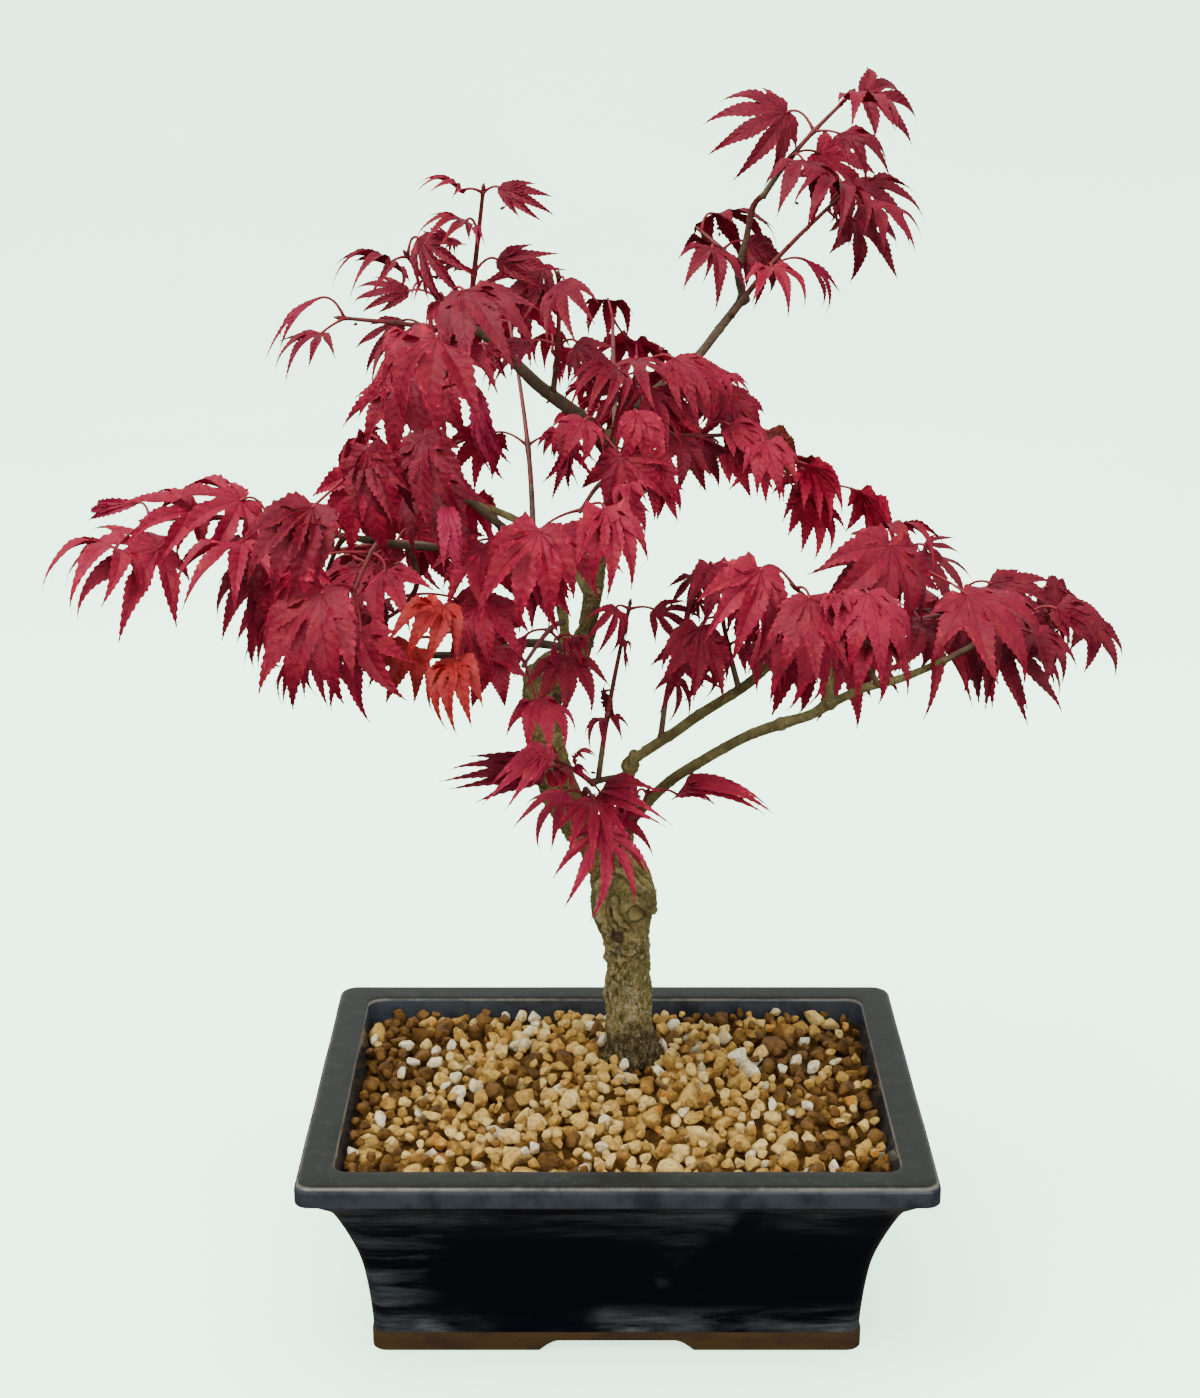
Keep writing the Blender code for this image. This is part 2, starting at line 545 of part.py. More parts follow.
def make_limb(limb, parts, cutters, mats):
    """One limb, cut back clear of those that bear it."""
    route = limb_route(limb)
    mesh = tube_mesh(limb.name, route, limb.sides)
    grown = tube_mesh(f"{limb.name}_clearance", beyond(route, GAP), limb.sides, GAP)
    if limb.name == "trunk":
        spread_foot(mesh, TRUNK_BASE)
        spread_foot(grown, TRUNK_BASE, GAP)
    cutter(new_object(f"{limb.name}_clearance", grown, cutters))
    obj = new_object(limb.name, mesh, parts, mats[limb.colour])
    for other in limb.cut_by:
        obj.modifiers.new(other, "BOOLEAN").object = bpy.data.objects[f"{other}_clearance"]
    if limb.cut_by:
        applied(obj).materials.clear()
        obj.data.materials.append(mats[limb.colour])
    return obj


# ----------------------------------------------------------------------- foliage


def leaf_outline(kind, length):
    """(angle, radius) points from one side of the leaf's stalk round to the other."""
    kind = KINDS[kind]
    right = []
    half_width = kind.half_width * length
    for i, (angle, share) in enumerate(kind.lobes):
        reach = share * length
        shoulder = SHOULDER * reach
        swing = math.degrees(math.atan2(half_width * (1 + share) / 2, shoulder))
        if i:
            before = kind.lobes[i - 1]
            cut = kind.cut * (before[1] + share) / 2 * length
            right.append(((before[0] + angle) / 2, cut))
        right.append((angle, reach))
        if i < kind.shouldered:
            right.append((angle + swing, shoulder))
    left = [(-angle, radius) for angle, radius in reversed(right[1:])]
    return [*left, *right, (180.0, 0.0)]


def leaf_shape(kind, length, thickness):
    """A palmate leaf as two low pyramids on one outline. Its middle lobe points along x."""
    heart = LEAF_HEART * length
    verts = [Vector((heart, 0.0, thickness / 2)), Vector((heart, 0.0, -thickness / 2))]
    for angle, radius in leaf_outline(kind, length):
        turn = math.radians(angle)
        droop = LEAF_DROOP * radius * radius / length
        verts.append(Vector((radius * math.cos(turn), radius * math.sin(turn), -droop)))
    count = len(verts) - 2
    faces = []
    for i in range(count):
        a = 2 + i
        b = 2 + (i + 1) % count
        faces.append((0, a, b))
        faces.append((1, b, a))
    return verts, faces


def stalk_sections(points, matrix, radius):
    """Three-cornered sections of a stalk, the last one across the foot of its blade."""
    across = matrix.col[1].xyz
    sections = []
    for i in reversed(range(len(points))):
        way = (points[min(i + 1, len(points) - 1)] - points[max(i - 1, 0)]).normalized()
        if i == len(points) - 1:
            way = (way + matrix.col[0].xyz).normalized()
        across = (across - way * across.dot(way)).normalized()
        over = way.cross(across)
        if i == len(points) - 1 and over.dot(matrix.col[2].xyz) < 0:
            over = -over
        section = []
        for turn in (-30, 210, 90):
            turn = math.radians(turn)
            section.append(points[i] + radius * (across * math.cos(turn) + over * math.sin(turn)))
        sections.append(section)
    return sections[::-1]


def leaf_with_stalk(leaf):
    """A leaf and its stalk as one closed shape: the stalk's last section opens into the blade."""
    points = leaf.petiole if leaf.kind == "open" else [leaf.petiole[0], leaf.petiole[-1]]
    sections = stalk_sections(points, leaf.matrix, PETIOLE_RADIUS)
    blade, _ = leaf_shape(leaf.kind, leaf.length, LEAF_THICKNESS * leaf.length)
    verts = [leaf.matrix @ v for v in blade[:-1]]
    outline = list(range(2, len(verts)))
    first = len(verts)
    for section in sections:
        verts.extend(section)
    right, left, top = range(len(verts) - 3, len(verts))
    faces = [(0, right, top), (0, top, left), (first, first + 1, first + 2)]
    outline = [*outline, right, left]
    for a, b in zip(outline, [*outline[1:], outline[0]]):
        if a != right:
            faces.append((0, a, b))
        faces.append((1, b, a))
    for ring in range(first, len(verts) - 3, 3):
        for i in range(3):
            j = (i + 1) % 3
            faces.append((ring + i, ring + 3 + i, ring + 3 + j))
            faces.append((ring + i, ring + 3 + j, ring + j))
    return verts, faces


def twig_shape(points, radii, foot=None):
    """A three-sided tapering twig with closed ends. The direction foot is square to its first end."""
    verts = []
    side = None
    for i, point in enumerate(points):
        way = (points[min(i + 1, len(points) - 1)] - points[max(i - 1, 0)]).normalized()
        if foot and i == 0:
            way = foot
        side = side or way.orthogonal()
        side = (side - way * side.dot(way)).normalized()
        other = way.cross(side)
        for corner in range(3):
            turn = math.radians(120 * corner)
            verts.append(point + radii[i] * (side * math.cos(turn) + other * math.sin(turn)))
    faces = [(2, 1, 0)]
    for ring in range(0, len(verts) - 3, 3):
        for i in range(3):
            j = (i + 1) % 3
            faces.append((ring + i, ring + j, ring + 3 + j))
            faces.append((ring + i, ring + 3 + j, ring + 3 + i))
    last = len(verts) - 3
    faces.append((last, last + 1, last + 2))
    return verts, faces


def arc(start, middle, end, count):
    """Points on the parabola from start to end that heads for middle."""
    points = []
    for i in range(count + 1):
        t = i / count
        points.append(start * (1 - t) ** 2 + middle * (2 * t * (1 - t)) + end * t * t)
    return points


Leaf = namedtuple("Leaf", "petiole matrix kind length")
Twig = namedtuple("Twig", "points radii foot")


class Space:
    """What stands in the crown so far, so that nothing new runs into it."""

    def __init__(self):
        self.limbs = {}
        self.grown = []  # (spray's name, middle, radius, tree)

    def add_limb(self, name, mesh):
        """Takes a limb's mesh in metres. The trees are in the tables' own millimetres."""
        verts = [v.co / MM - POT_CENTRE for v in mesh.vertices]
        self.limbs[name] = BVHTree.FromPolygons(verts, [tuple(p.vertices) for p in mesh.polygons])


    def add(self, owner, verts, faces):
        middle = sum(verts, Vector()) / len(verts)
        radius = max((v - middle).length for v in verts)
        self.grown.append((owner, middle, radius, BVHTree.FromPolygons(verts, faces)))

    def meets(self, owner, verts, faces, bearer=None):
        """2 if this meets another spray or a limb that isn't its bearer, 1 if only its own spray."""
        tree = BVHTree.FromPolygons(verts, faces)
        if any(limb.overlap(tree) for name, limb in self.limbs.items() if name != bearer):
            return 2
        middle = sum(verts, Vector()) / len(verts)
        radius = max((v - middle).length for v in verts)
        own = 0
        for name, centre, size, other in self.grown:
            if (centre - middle).length < radius + size and other.overlap(tree):
                if name != owner:
                    return 2
                own = 1
        return own


def limb_point(route, along):
    """Place, direction and radius at a share of a limb's length."""
    place = along * (len(route) - 1)
    i = min(int(place), len(route) - 2)
    a, b = Vector(route[i]), Vector(route[i + 1])
    here = a.lerp(b, place - i)
    return here.xyz, (b.xyz - a.xyz).normalized(), here.w


def leaf_pose(rng, node, way, side, length):
    """A leaf on its stalk: it arches out from the node to one side, and the blade hangs."""
    out = Vector((node.x - CROWN_AXIS.x, node.y - CROWN_AXIS.y, 0.0)).normalized()
    light = out
    if node.y < FRONT_LIMIT:
        light = (out * OUTWARD_LIGHT + FRONT).normalized()
    heading = side * rng.uniform(*SIDEWAYS) + way * rng.uniform(*ONWARD) + UP * rng.uniform(*UPWARD)
    heading = (heading + light * rng.uniform(*LIGHTWARD)).normalized()
    stalk = PETIOLE * length * rng.uniform(*PETIOLE_SPREAD)
    bend = node + heading * stalk * PETIOLE_BEND
    level = Vector((heading.x, heading.y, 0.0)) * LEVEL_HEADING + light * LEVEL_LIGHT
    level = (level + level_spread(rng, LEVEL_SPREAD)).normalized()
    down = (level * BEND_LEVEL - UP * BEND_DOWN).normalized()
    joint = bend + down * stalk * (1 - PETIOLE_BEND)
    hang = math.radians(rng.uniform(*HANG))
    axis = (level * math.sin(hang) - UP * math.cos(hang)).normalized()
    normal = light * NORMAL_LIGHT + UP * NORMAL_UP + level_spread(rng, NORMAL_SPREAD)
    normal = (normal - axis * normal.dot(axis)).normalized()
    turned = Matrix((axis, normal.cross(axis), normal)).transposed().to_4x4()
    return arc(node, bend, joint, PETIOLE_PARTS), Matrix.Translation(joint) @ turned


def level_spread(rng, reach):
    return Vector((rng.uniform(-reach, reach), rng.uniform(-reach, reach), 0.0))


def leaf_kind(rng, length):
    if rng.random() < SHUT_SHARE:
        return "shut"
    return "open" if length > OPEN_LENGTH else "small"


def grow_leaf(space, spray, key, node, way, side):
    """Tries a few poses for a leaf, and returns the first that has room, or None."""
    for attempt in range(LEAF_TRIES):
        rng = random.Random(f"{spray.name}-{spray.seed}-{key}-{attempt}")
        length = spray.leaf * rng.uniform(*LEAF_SPREAD)
        kind = leaf_kind(rng, length)
        petiole, matrix = leaf_pose(rng, node, way, side, length)
        thickness = LEAF_THICKNESS * length + 2 * TEST_MARGIN
        verts, faces = leaf_shape(kind, length * TEST_GROWTH, thickness)
        blade = space.meets(spray.name, [matrix @ v for v in verts], faces)
        wide = [PETIOLE_RADIUS + TEST_MARGIN] * 2
        root = space.meets(spray.name, *twig_shape(petiole[:2], wide))
        stalk = space.meets(spray.name, *twig_shape(petiole[1:], wide))
        if root < 2 and not stalk and not blade:
            return Leaf(petiole, matrix, kind, length)
    return None


def clear_twig(space, spray, key, start, bend, end, radii):
    """Points of a twig with room all along, swayed aside until it has, or None."""
    span = (end - start).length
    wide = [radius + TEST_MARGIN for radius in radii]
    for attempt in range(TWIG_TRIES):
        rng = random.Random(f"{spray.name}-{spray.seed}-{key}-{attempt}")
        sway = Vector([rng.uniform(-1.0, 1.0) for _ in range(3)]) * span * SWAY * attempt
        points = arc(start, bend + sway, end, len(radii) - 1)
        foot = space.meets(spray.name, *twig_shape(points[:2], wide[:2]), bearer=spray.limb)
        rest = space.meets(spray.name, *twig_shape(points[1:], wide[1:]))
        if foot < 2 and rest < 2:
            return points
    return None


def along_arc(points, share):
    """Place and direction at a share of a list of points."""
    place = share * (len(points) - 1)
    i = min(int(place), len(points) - 2)
    return points[i].lerp(points[i + 1], place - i), (points[i + 1] - points[i]).normalized()


def grow_stem(space, spray, routes):
    """The spray's stem, from a clear start at its limb to the spray's tip."""
    place, way, radius = limb_point(routes[spray.limb], spray.along)
    tip = Vector(spray.tip)
    out = way
    if spray.along < 1.0:
        out = tip - place
        out = (out - way * out.dot(way)).normalized()
        place = place + out * radius
    start = place + out * GAP
    span = (tip - start).length
    middle = (start + tip) / 2 + UP * STEM_RISE * span
    lead = start + out * min(span * LEAD, LONGEST_LEAD)
    taper = (TWIG_TIP_RADIUS - TWIG_RADIUS) / STEM_PARTS
    radii = [TWIG_RADIUS + taper * i for i in range(STEM_PARTS + 1)]
    points = clear_twig(space, spray, "stem", start, lead.lerp(middle, 0.5), tip, radii)
    if not points:
        raise ValueError(f"{spray.name} has no clear way to its tip")
    return Twig(points, radii, out)


def grow_fork(space, spray, stem, i):
    """The spray's side twig number i, or None where there is no room."""
    share = FIRST_PAIR + (LAST_FORK - FIRST_PAIR) * (i + 0.5) / spray.forks
    node, way = along_arc(stem.points, share)
    span = (stem.points[-1] - stem.points[0]).length
    level = way.cross(UP).normalized() * (1 if i % 2 else -1)
    reach = (level + way * FORK_ONWARD + UP * FORK_UP).normalized() * span * FORK_LENGTH
    bend = node + reach / 2 + UP * span * FORK_RISE
    radii = [TWIG_TIP_RADIUS] * (FORK_PARTS + 1)
    points = clear_twig(space, spray, f"twig{i}", node, bend, node + reach, radii)
    return Twig(points, radii, None) if points else None


def grow_pair(space, spray, key, node, way, turn):
    """Two opposite leaves at a node, each pair a quarter turn on from the last."""
    across = way.cross(UP).normalized()
    over = across.cross(way).normalized()
    rng = random.Random(f"{spray.name}-{spray.seed}-{key}")
    angle = math.radians(90.0 * turn + rng.uniform(-TWIST, TWIST))
    side = across * math.cos(angle) + over * math.sin(angle)
    pair = []
    for sign in (-1, 1):
        leaf = grow_leaf(space, spray, f"{key}{sign}", node, way, side * sign)
        if leaf:
            pair.append(leaf)
            verts, faces = leaf_shape(leaf.kind, leaf.length, LEAF_THICKNESS * leaf.length)
            space.add(spray.name, [leaf.matrix @ v for v in verts], faces)
            space.add(spray.name, *twig_shape(leaf.petiole, [PETIOLE_RADIUS] * len(leaf.petiole)))
    return pair


def grow_spray(space, spray, routes):
    """The twigs and leaves of one spray."""
    stem = grow_stem(space, spray, routes)
    twigs = [stem]
    space.add(spray.name, *twig_shape(stem.points, stem.radii))
    nodes = []
    for i in range(spray.pairs):
        share = LAST_PAIR
        if spray.pairs > 1:
            share = FIRST_PAIR + (LAST_PAIR - FIRST_PAIR) * i / (spray.pairs - 1)
        nodes.append((f"pair{i}", *along_arc(stem.points, share), i))
    for i in range(spray.forks):
        twig = grow_fork(space, spray, stem, i)
        if twig:
            twigs.append(twig)
            space.add(spray.name, *twig_shape(twig.points, twig.radii))
            nodes.append((f"fork{i}", *along_arc(twig.points, FORK_PAIR), i + 1))
    leaves = []
    for node in nodes:
        leaves.extend(grow_pair(space, spray, *node))
    return twigs, leaves


def solid(name, verts, faces, collection):
    mesh = bpy.data.meshes.new(name)
    mesh.from_pydata([at(v) for v in verts], [], faces)
    return new_object(name, mesh, collection)


def fuse(name, twigs, leaves, parts, mat):
    """One solid of a spray's twigs, stalks and leaves."""
    pieces = bpy.data.collections.new(f"{name}_pieces")
    bpy.context.scene.collection.children.link(pieces)
    for twig in twigs[1:]:
        solid("twig", *twig_shape(*twig), pieces)
    for leaf in leaves:
        solid("leaf", *leaf_with_stalk(leaf), pieces)
    obj = solid(name, *twig_shape(*twigs[0]), parts)
    union = obj.modifiers.new("union", "BOOLEAN")
    union.operation = "UNION"
    union.operand_type = "COLLECTION"
    union.collection = pieces
    mesh = applied(obj)
    mesh.materials.clear()
    mesh.materials.append(mat)
    for piece in list(pieces.objects):
        bpy.data.objects.remove(piece)
    bpy.data.collections.remove(pieces)


# -------------------------------------------------------------------- whole plant


def make_limbs(parts, cutters):
    """Makes every limb, and returns the space that they leave for the foliage."""
    mats = {
        BARK: material("bark", BARK, 0.9),
        YOUNG_BARK: material("young_bark", YOUNG_BARK, 0.6),
        GREY_BARK: material("grey_bark", GREY_BARK, 0.8),
    }
    space = Space()
    for limb in LIMBS:
        obj = make_limb(limb, parts, cutters, mats)
        space.add_limb(limb.name, obj.data)
    return space


def main():
    for obj in list(bpy.data.objects):
        bpy.data.objects.remove(obj)
    parts = bpy.data.collections.new("maple_bonsai")
    cutters = bpy.data.collections.new("cutters")
    bpy.context.scene.collection.children.link(parts)
    bpy.context.scene.collection.children.link(cutters)
    make_pot(parts, cutters)
    make_soil(parts)
    space = make_limbs(parts, cutters)
    routes = {limb.name: limb_route(limb) for limb in LIMBS}
    leaf_mat = material("leaf", LEAF_RED, 0.5)
    for spray in SPRAYS:
        fuse(f"{spray.name}_leaves", *grow_spray(space, spray, routes), parts, leaf_mat)


if __name__ == "__main__":
    main()
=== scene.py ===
"""The finish of a Japanese maple bonsai in a glazed pot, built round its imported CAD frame.

Lengths in the tables are millimetres, measured from the middle of the pot's underside:
x to the right, y away from the front, z up. The settings and the model are in metres.
"""

import math
import random
from collections import namedtuple

import bmesh
import bpy
import numpy as np
from bpy.props import FloatProperty, FloatVectorProperty, IntProperty, PointerProperty
from mathutils import Matrix, Vector, noise
from mathutils.bvhtree import BVHTree
from mathutils.kdtree import KDTree


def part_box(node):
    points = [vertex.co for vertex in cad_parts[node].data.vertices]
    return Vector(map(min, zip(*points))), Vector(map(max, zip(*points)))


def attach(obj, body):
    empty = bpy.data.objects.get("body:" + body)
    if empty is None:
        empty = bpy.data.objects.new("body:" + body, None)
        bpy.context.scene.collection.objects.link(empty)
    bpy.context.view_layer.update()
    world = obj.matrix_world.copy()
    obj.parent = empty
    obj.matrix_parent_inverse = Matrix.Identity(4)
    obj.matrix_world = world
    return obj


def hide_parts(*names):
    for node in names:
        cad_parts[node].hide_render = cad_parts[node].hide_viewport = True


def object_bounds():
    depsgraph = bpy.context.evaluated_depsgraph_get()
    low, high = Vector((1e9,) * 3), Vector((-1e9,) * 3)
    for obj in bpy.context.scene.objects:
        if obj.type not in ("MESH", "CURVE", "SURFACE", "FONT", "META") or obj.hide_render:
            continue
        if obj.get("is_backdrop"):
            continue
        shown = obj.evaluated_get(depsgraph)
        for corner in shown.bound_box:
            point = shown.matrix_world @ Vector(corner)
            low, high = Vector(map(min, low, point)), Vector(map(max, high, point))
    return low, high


bl_info = {
    "name": "Maple Bonsai Finish",
    "version": (1, 0, 0),
    "blender": (4, 5, 0),
    "location": "View3D > Sidebar > Maple",
    "description": "Gives a potted Japanese maple its glaze, grit, bark, twigs and leaves",
    "category": "Add Mesh",
}

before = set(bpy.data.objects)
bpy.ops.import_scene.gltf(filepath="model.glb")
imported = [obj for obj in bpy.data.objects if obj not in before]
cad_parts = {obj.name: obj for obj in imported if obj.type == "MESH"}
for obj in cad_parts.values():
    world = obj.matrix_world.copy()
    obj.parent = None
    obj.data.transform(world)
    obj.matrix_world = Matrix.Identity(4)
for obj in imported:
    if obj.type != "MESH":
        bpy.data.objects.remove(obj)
CAD_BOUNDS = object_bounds()

MM = 0.001
GAP = 0.35  # clearance between neighbouring solids of the frame
UP = Vector((0.0, 0.0, 1.0))
FRONT = Vector((0.0, -1.0, 0.0))


def middle_of(node):
    """The middle of a node's plan, in millimetres."""
    low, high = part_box(node)
    return Vector((round((low.x + high.x) / 2 / MM, 2), round((low.y + high.y) / 2 / MM, 2), 0.0))


POT_CENTRE = middle_of("pot")


def at(place):
    """A place from the tables as a point of the model, in metres."""
    return (Vector(place) + POT_CENTRE) * MM


def tone(*shades):
    """A colour from its everyday 0 to 255 values, as the shaders want it."""
    return tuple(((c / 255 + 0.055) / 1.055) ** 2.4 if c > 10 else c / 3294.6 for c in shades)


# ------------------------ pot and soil

POT_WIDTH = 200.0
POT_DEPTH = 146.0
POT_HEIGHT = 71.0
POT_CORNER = 5.0
CORNER_STEPS = 8
SIDE_STEPS = 26  # points along each wall
LIP_ROUNDING = 2.5
# Profiles, as (inset from the rim's outer edge, depth below the rim's top).
POT_OUTSIDE = (
    (0.0, 6.8), (1.6, 7.2), (5.6, 10.9), (9.0, 14.3), (11.4, 18.8), (15.2, 28.6),
    (18.0, 38.0), (19.6, 48.0), (20.6, 58.0), (21.0, 64.6), (20.6, 65.4), (20.6, 71.0),
)
RIM_WIDTH = 11.5
RIM_INNER_ROUNDING = 1.5
POT_INSIDE = ((12.0, 6.0), (16.5, 20.0), (25.5, 41.0), (27.0, 60.0))
FOOT_LIFT = 3.6  # the underside between the four feet
FOOT_ARCH = Vector((50.0, 32.0))  # width of the arches in the long and the short sides
ARCH_SLOPE = 6.5  # length of an arch's shoulder
DRAIN_RADIUS = 7.0
DRAIN_OFFSET = 36.0
DRAIN_SIDES = 32

BED_HALF = Vector((POT_WIDTH, POT_DEPTH)) / 2 - Vector((POT_INSIDE[0][0], POT_INSIDE[0][0]))
SOIL_EDGE_DEPTH = 6.2  # below the rim's top, at the wall
SOIL_RISE = 2.6  # from the wall to the trunk's foot
TRUNK_FOOT = Vector((5.4, 26.0))

PROFILE_STEP = 2.5  # the longest stretch of the profile between two rings
FOOT_BAND = 6.0  # height of the bare clay
LEAST_PULL = 0.02
INNER_GLAZE = 9.0  # depth of the glaze inside the rim
SHARP_EDGE = math.radians(50)

SOIL_STEPS = 14
EARTH_WAVE = 9.0
EARTH_DEPTH = 0.8
TRUNK_CLEAR = 9.0  # from the trunk's middle to the nearest grains
GRAIN_PACKING = 0.93  # neighbouring grains' middles come this close, as a share of their widths
GRAIN_SETTLE = 0.9
GRAIN_HEAP = 3.2  # grains may stand this far out of the soil's surface
GRAIN_SORTING = 1.15  # the higher, the more of the grains are small
GRAIN_FLATS = 10
GRAIN_CUTS = (0.5, 0.82)
GRAIN_LUMPS = (0.085, 3.0)  # (height, how close together) of a grain's lumps
GRAIN_STRETCH = (0.72, 1.25)
CREAM_STRETCH = 1.4
DEEP_GRAIN = 1.5  # grains whose tops lie deeper than this are made plainer
LARGEST_CREAM = 3.9
CREAM_SHARE = 0.095
OCHRE_SHARE = 0.13  # of the grains are cream or ochre
DAMP_SHARE = 0.62  # of the grains are damp where it is dampest
GRAIN_MIX = ("straw", "straw", "tan", "brown", "brown", "umber")
GRAIN_MARKS = {"straw": "tan", "tan": "brown", "brown": "tan", "umber": "brown", "damp": "earth",
               "ochre": "tan", "cream": "straw"}
DAMP_ROUGHNESS = 0.55
DRY_ROUGHNESS = 0.92

# ------------------------ trunk and boughs

Limb = namedtuple("Limb", "name bark route")

SOIL_TOP = POT_HEIGHT - SOIL_EDGE_DEPTH + SOIL_RISE
TRUNK_BASE = SOIL_TOP + GAP
BUTTRESS_HEIGHT = 13.0
BUTTRESS_SHARE = 0.11  # how far the foot swells, as a share of its radius
BUTTRESSES = ((1.0, 3, 0.5), (0.5, 5, 2.0))  # (size, how many round the foot, turn)
BUTTRESS_MEAN = 0.6

# Each route point is (x, y, z, radius).
LIMBS = (
    Limb("trunk", "bark", (
        (5.4, 26, TRUNK_BASE, 9.9), (5.3, 26, 73.9, 8.6), (4.2, 26, 89.2, 8.1), (3.8, 25.5, 106.5, 7.6),
        (2.9, 25, 117, 9.2), (2.4, 24.5, 124, 10.6), (2, 24, 131, 10.5), (-0.4, 24, 139, 9.2),
        (-5.2, 23, 146.5, 7.4), (-12.1, 22, 154.5, 6.8), (-19.3, 20, 168.5, 6.4),
        (-23.2, 19, 182.8, 6.1), (-24.7, 18, 196, 6.3), (-22.4, 18, 205.5, 7.8), (-16, 18.5, 212, 6),
        (-10.3, 19.5, 220, 3.6), (-7.6, 20, 235.4, 3.1), (-5.7, 20, 248.7, 3), (-1.9, 21, 263.2, 2.9),
        (-0.9, 21.5, 275, 2.7), (-2.6, 22, 285, 2.5),
    )),
    Limb("right_stem", "bark", (
        (0.7, 24, 137, 3.4), (3, 22.5, 148, 3), (4.4, 20.5, 161, 2.5), (4.2, 18.3, 173, 2.2),
        (6.4, 16.4, 181, 2.5),
    )),
    Limb("right_mid_bough", "young_bark", (
        (6.8, 16.2, 180, 1.9), (18.1, 14, 188.4, 1.85), (27, 12, 195.9, 1.8), (40.2, 8, 206.1, 1.7),
        (48.8, 5, 214.8, 1.5),
    )),
    Limb("right_low_bough", "young_bark", (
        (4.6, 21, 155, 1.9), (15.8, 10, 172.1, 1.85), (26.8, 2, 183, 1.8), (40.5, -8, 195, 1.75),
        (51.2, -14, 201.4, 1.9), (60.5, -18, 206, 1.7), (65.7, -20, 210.9, 1.9),
    )),
    Limb("right_low_bough_end", "young_bark", (
        (65.6, -20, 210, 1.5), (76.1, -22, 215.8, 1.45), (87.1, -24, 219.6, 1.35),
        (99.9, -25, 225.7, 1.2),
    )),
    Limb("right_rising_bough", "young_bark", (
        (65.5, -20, 210, 1.4), (67.3, -10, 219.1, 1.4), (73.6, 0, 221.3, 1.35), (81.7, 8, 223.5, 1.3),
        (83.4, 14, 230.4, 1.25), (88.7, 18, 238.6, 1.1),
    )),
    Limb("crown_left_bough", "grey_bark", (
        (-2.4, 22, 283.5, 2.2), (-11.4, 21, 291.6, 2.3), (-24.8, 20, 302, 2.1), (-35, 18, 312.7, 1.8),
        (-42, 17, 318.8, 1.6), (-49.3, 16, 321.4, 1.5),
    )),
    Limb("crown_right_bough", "grey_bark", (
        (-2.4, 22, 283, 1.8), (1.6, 23.5, 290.5, 1.75), (10.5, 28, 297.4, 1.65),
        (23.9, 34, 306.8, 1.55), (32.8, 37, 317.1, 1.5), (40.4, 40, 326.5, 1.5),
    )),
    Limb("crown_right_shoot", "grey_bark", (
        (40, 40, 325.8, 1.1), (38.4, 40, 334.4, 1.25), (40.6, 38, 344.7, 1.15), (42.5, 37, 355, 1.1),
        (45.8, 36, 359.1, 1),
    )),
    Limb("left_stem", "young_bark", (
        (-17, 17, 211, 2.2), (-16.6, 13, 219, 2), (-17.2, 10, 230.9, 1.8), (-19.9, 4, 245.4, 1.9),
    )),
    Limb("left_rising_bough", "young_bark", (
        (-19.9, 4, 244.4, 1.5), (-28.4, -2, 254.7, 1.45), (-36.2, -6, 263.3, 1.4),
        (-45.2, -8, 271.7, 1.3), (-52.3, -8, 280.4, 1.25), (-54.8, -8, 290.9, 1.1),
    )),
    Limb("left_reaching_bough", "young_bark", (
        (-28.2, -1.9, 254.2, 1.1), (-44, -8, 256.5, 1.25), (-64, -15, 259, 1.2), (-86, -20, 264, 1.1),
    )),
    Limb("left_low_bough", "young_bark", (
        (-16.9, 12, 218.5, 1.4), (-27.5, 0, 223.6, 1.5), (-36.4, -14, 225.6, 1.4),
        (-48, -26, 227.6, 1.3), (-56.5, -34, 230.1, 1.2),
    )),
    Limb("back_left_bough", "young_bark", (
        (-8.2, 21, 231, 1.6), (-16, 38, 241, 1.6), (-32, 56, 249, 1.4), (-52, 70, 254, 1.2),
    )),
    Limb("back_right_bough", "young_bark", (
        (-4.6, 21, 252, 1.6), (4, 40, 260, 1.6), (20, 58, 266, 1.4), (40, 74, 270, 1.2),
    )),
    Limb("cut_stub", "grey_bark", (
        (4, 18.6, 172, 1.1), (-1.5, 15, 172.8, 1.15), (-7.8, 11.5, 172.6, 1.1),
    )),
)
TRUNK_STEPS = 2  # rings to each stretch between two route points, as the frame has it
BOUGH_STEPS = 1
LIMB_STEPS = 6  # and as the bark has it
LIMB_SIDES = 24
ROOT_DEPTH = 2.6  # the trunk reaches this far down between the grains
KNOTS = (  # (place, radius) of swellings where boughs leave or left
    ((4.6, 18.2, 176), 3.2), ((-20.5, 17, 207), 7.4), ((51.2, -14, 201.4), 2.4),
    ((65.6, -20, 210.4), 2.5), ((-1.8, 21.5, 284.5), 3.2), ((40.2, 39.8, 326), 2.3),
    ((-19.9, 4, 245), 2.3), ((9, 20.5, 107), 2.4), ((-2.4, 23.5, 104.5), 2.4),
    ((9.2, 17.5, 128), 4.2),
)
NEAR_ROWS = 6
BARK_SEED = 1795480484  # of the noise vectors that bend the bark's cracks and folds
GRAIN_STRETCH_ALONG = 0.45  # bark plates are longer than wide
RING_STEP = 13.0  # from one ring of old bud scars to the next
WOUNDS = (((6.7, 14.4, 124.9), 3.3), ((-23.5, 13, 187.5), 1.5), ((-6, 17.2, 236), 1.4),
          ((-8.9, 16, 212.5), 1.6), ((-7.8, 11.5, 172.6), 1.2))
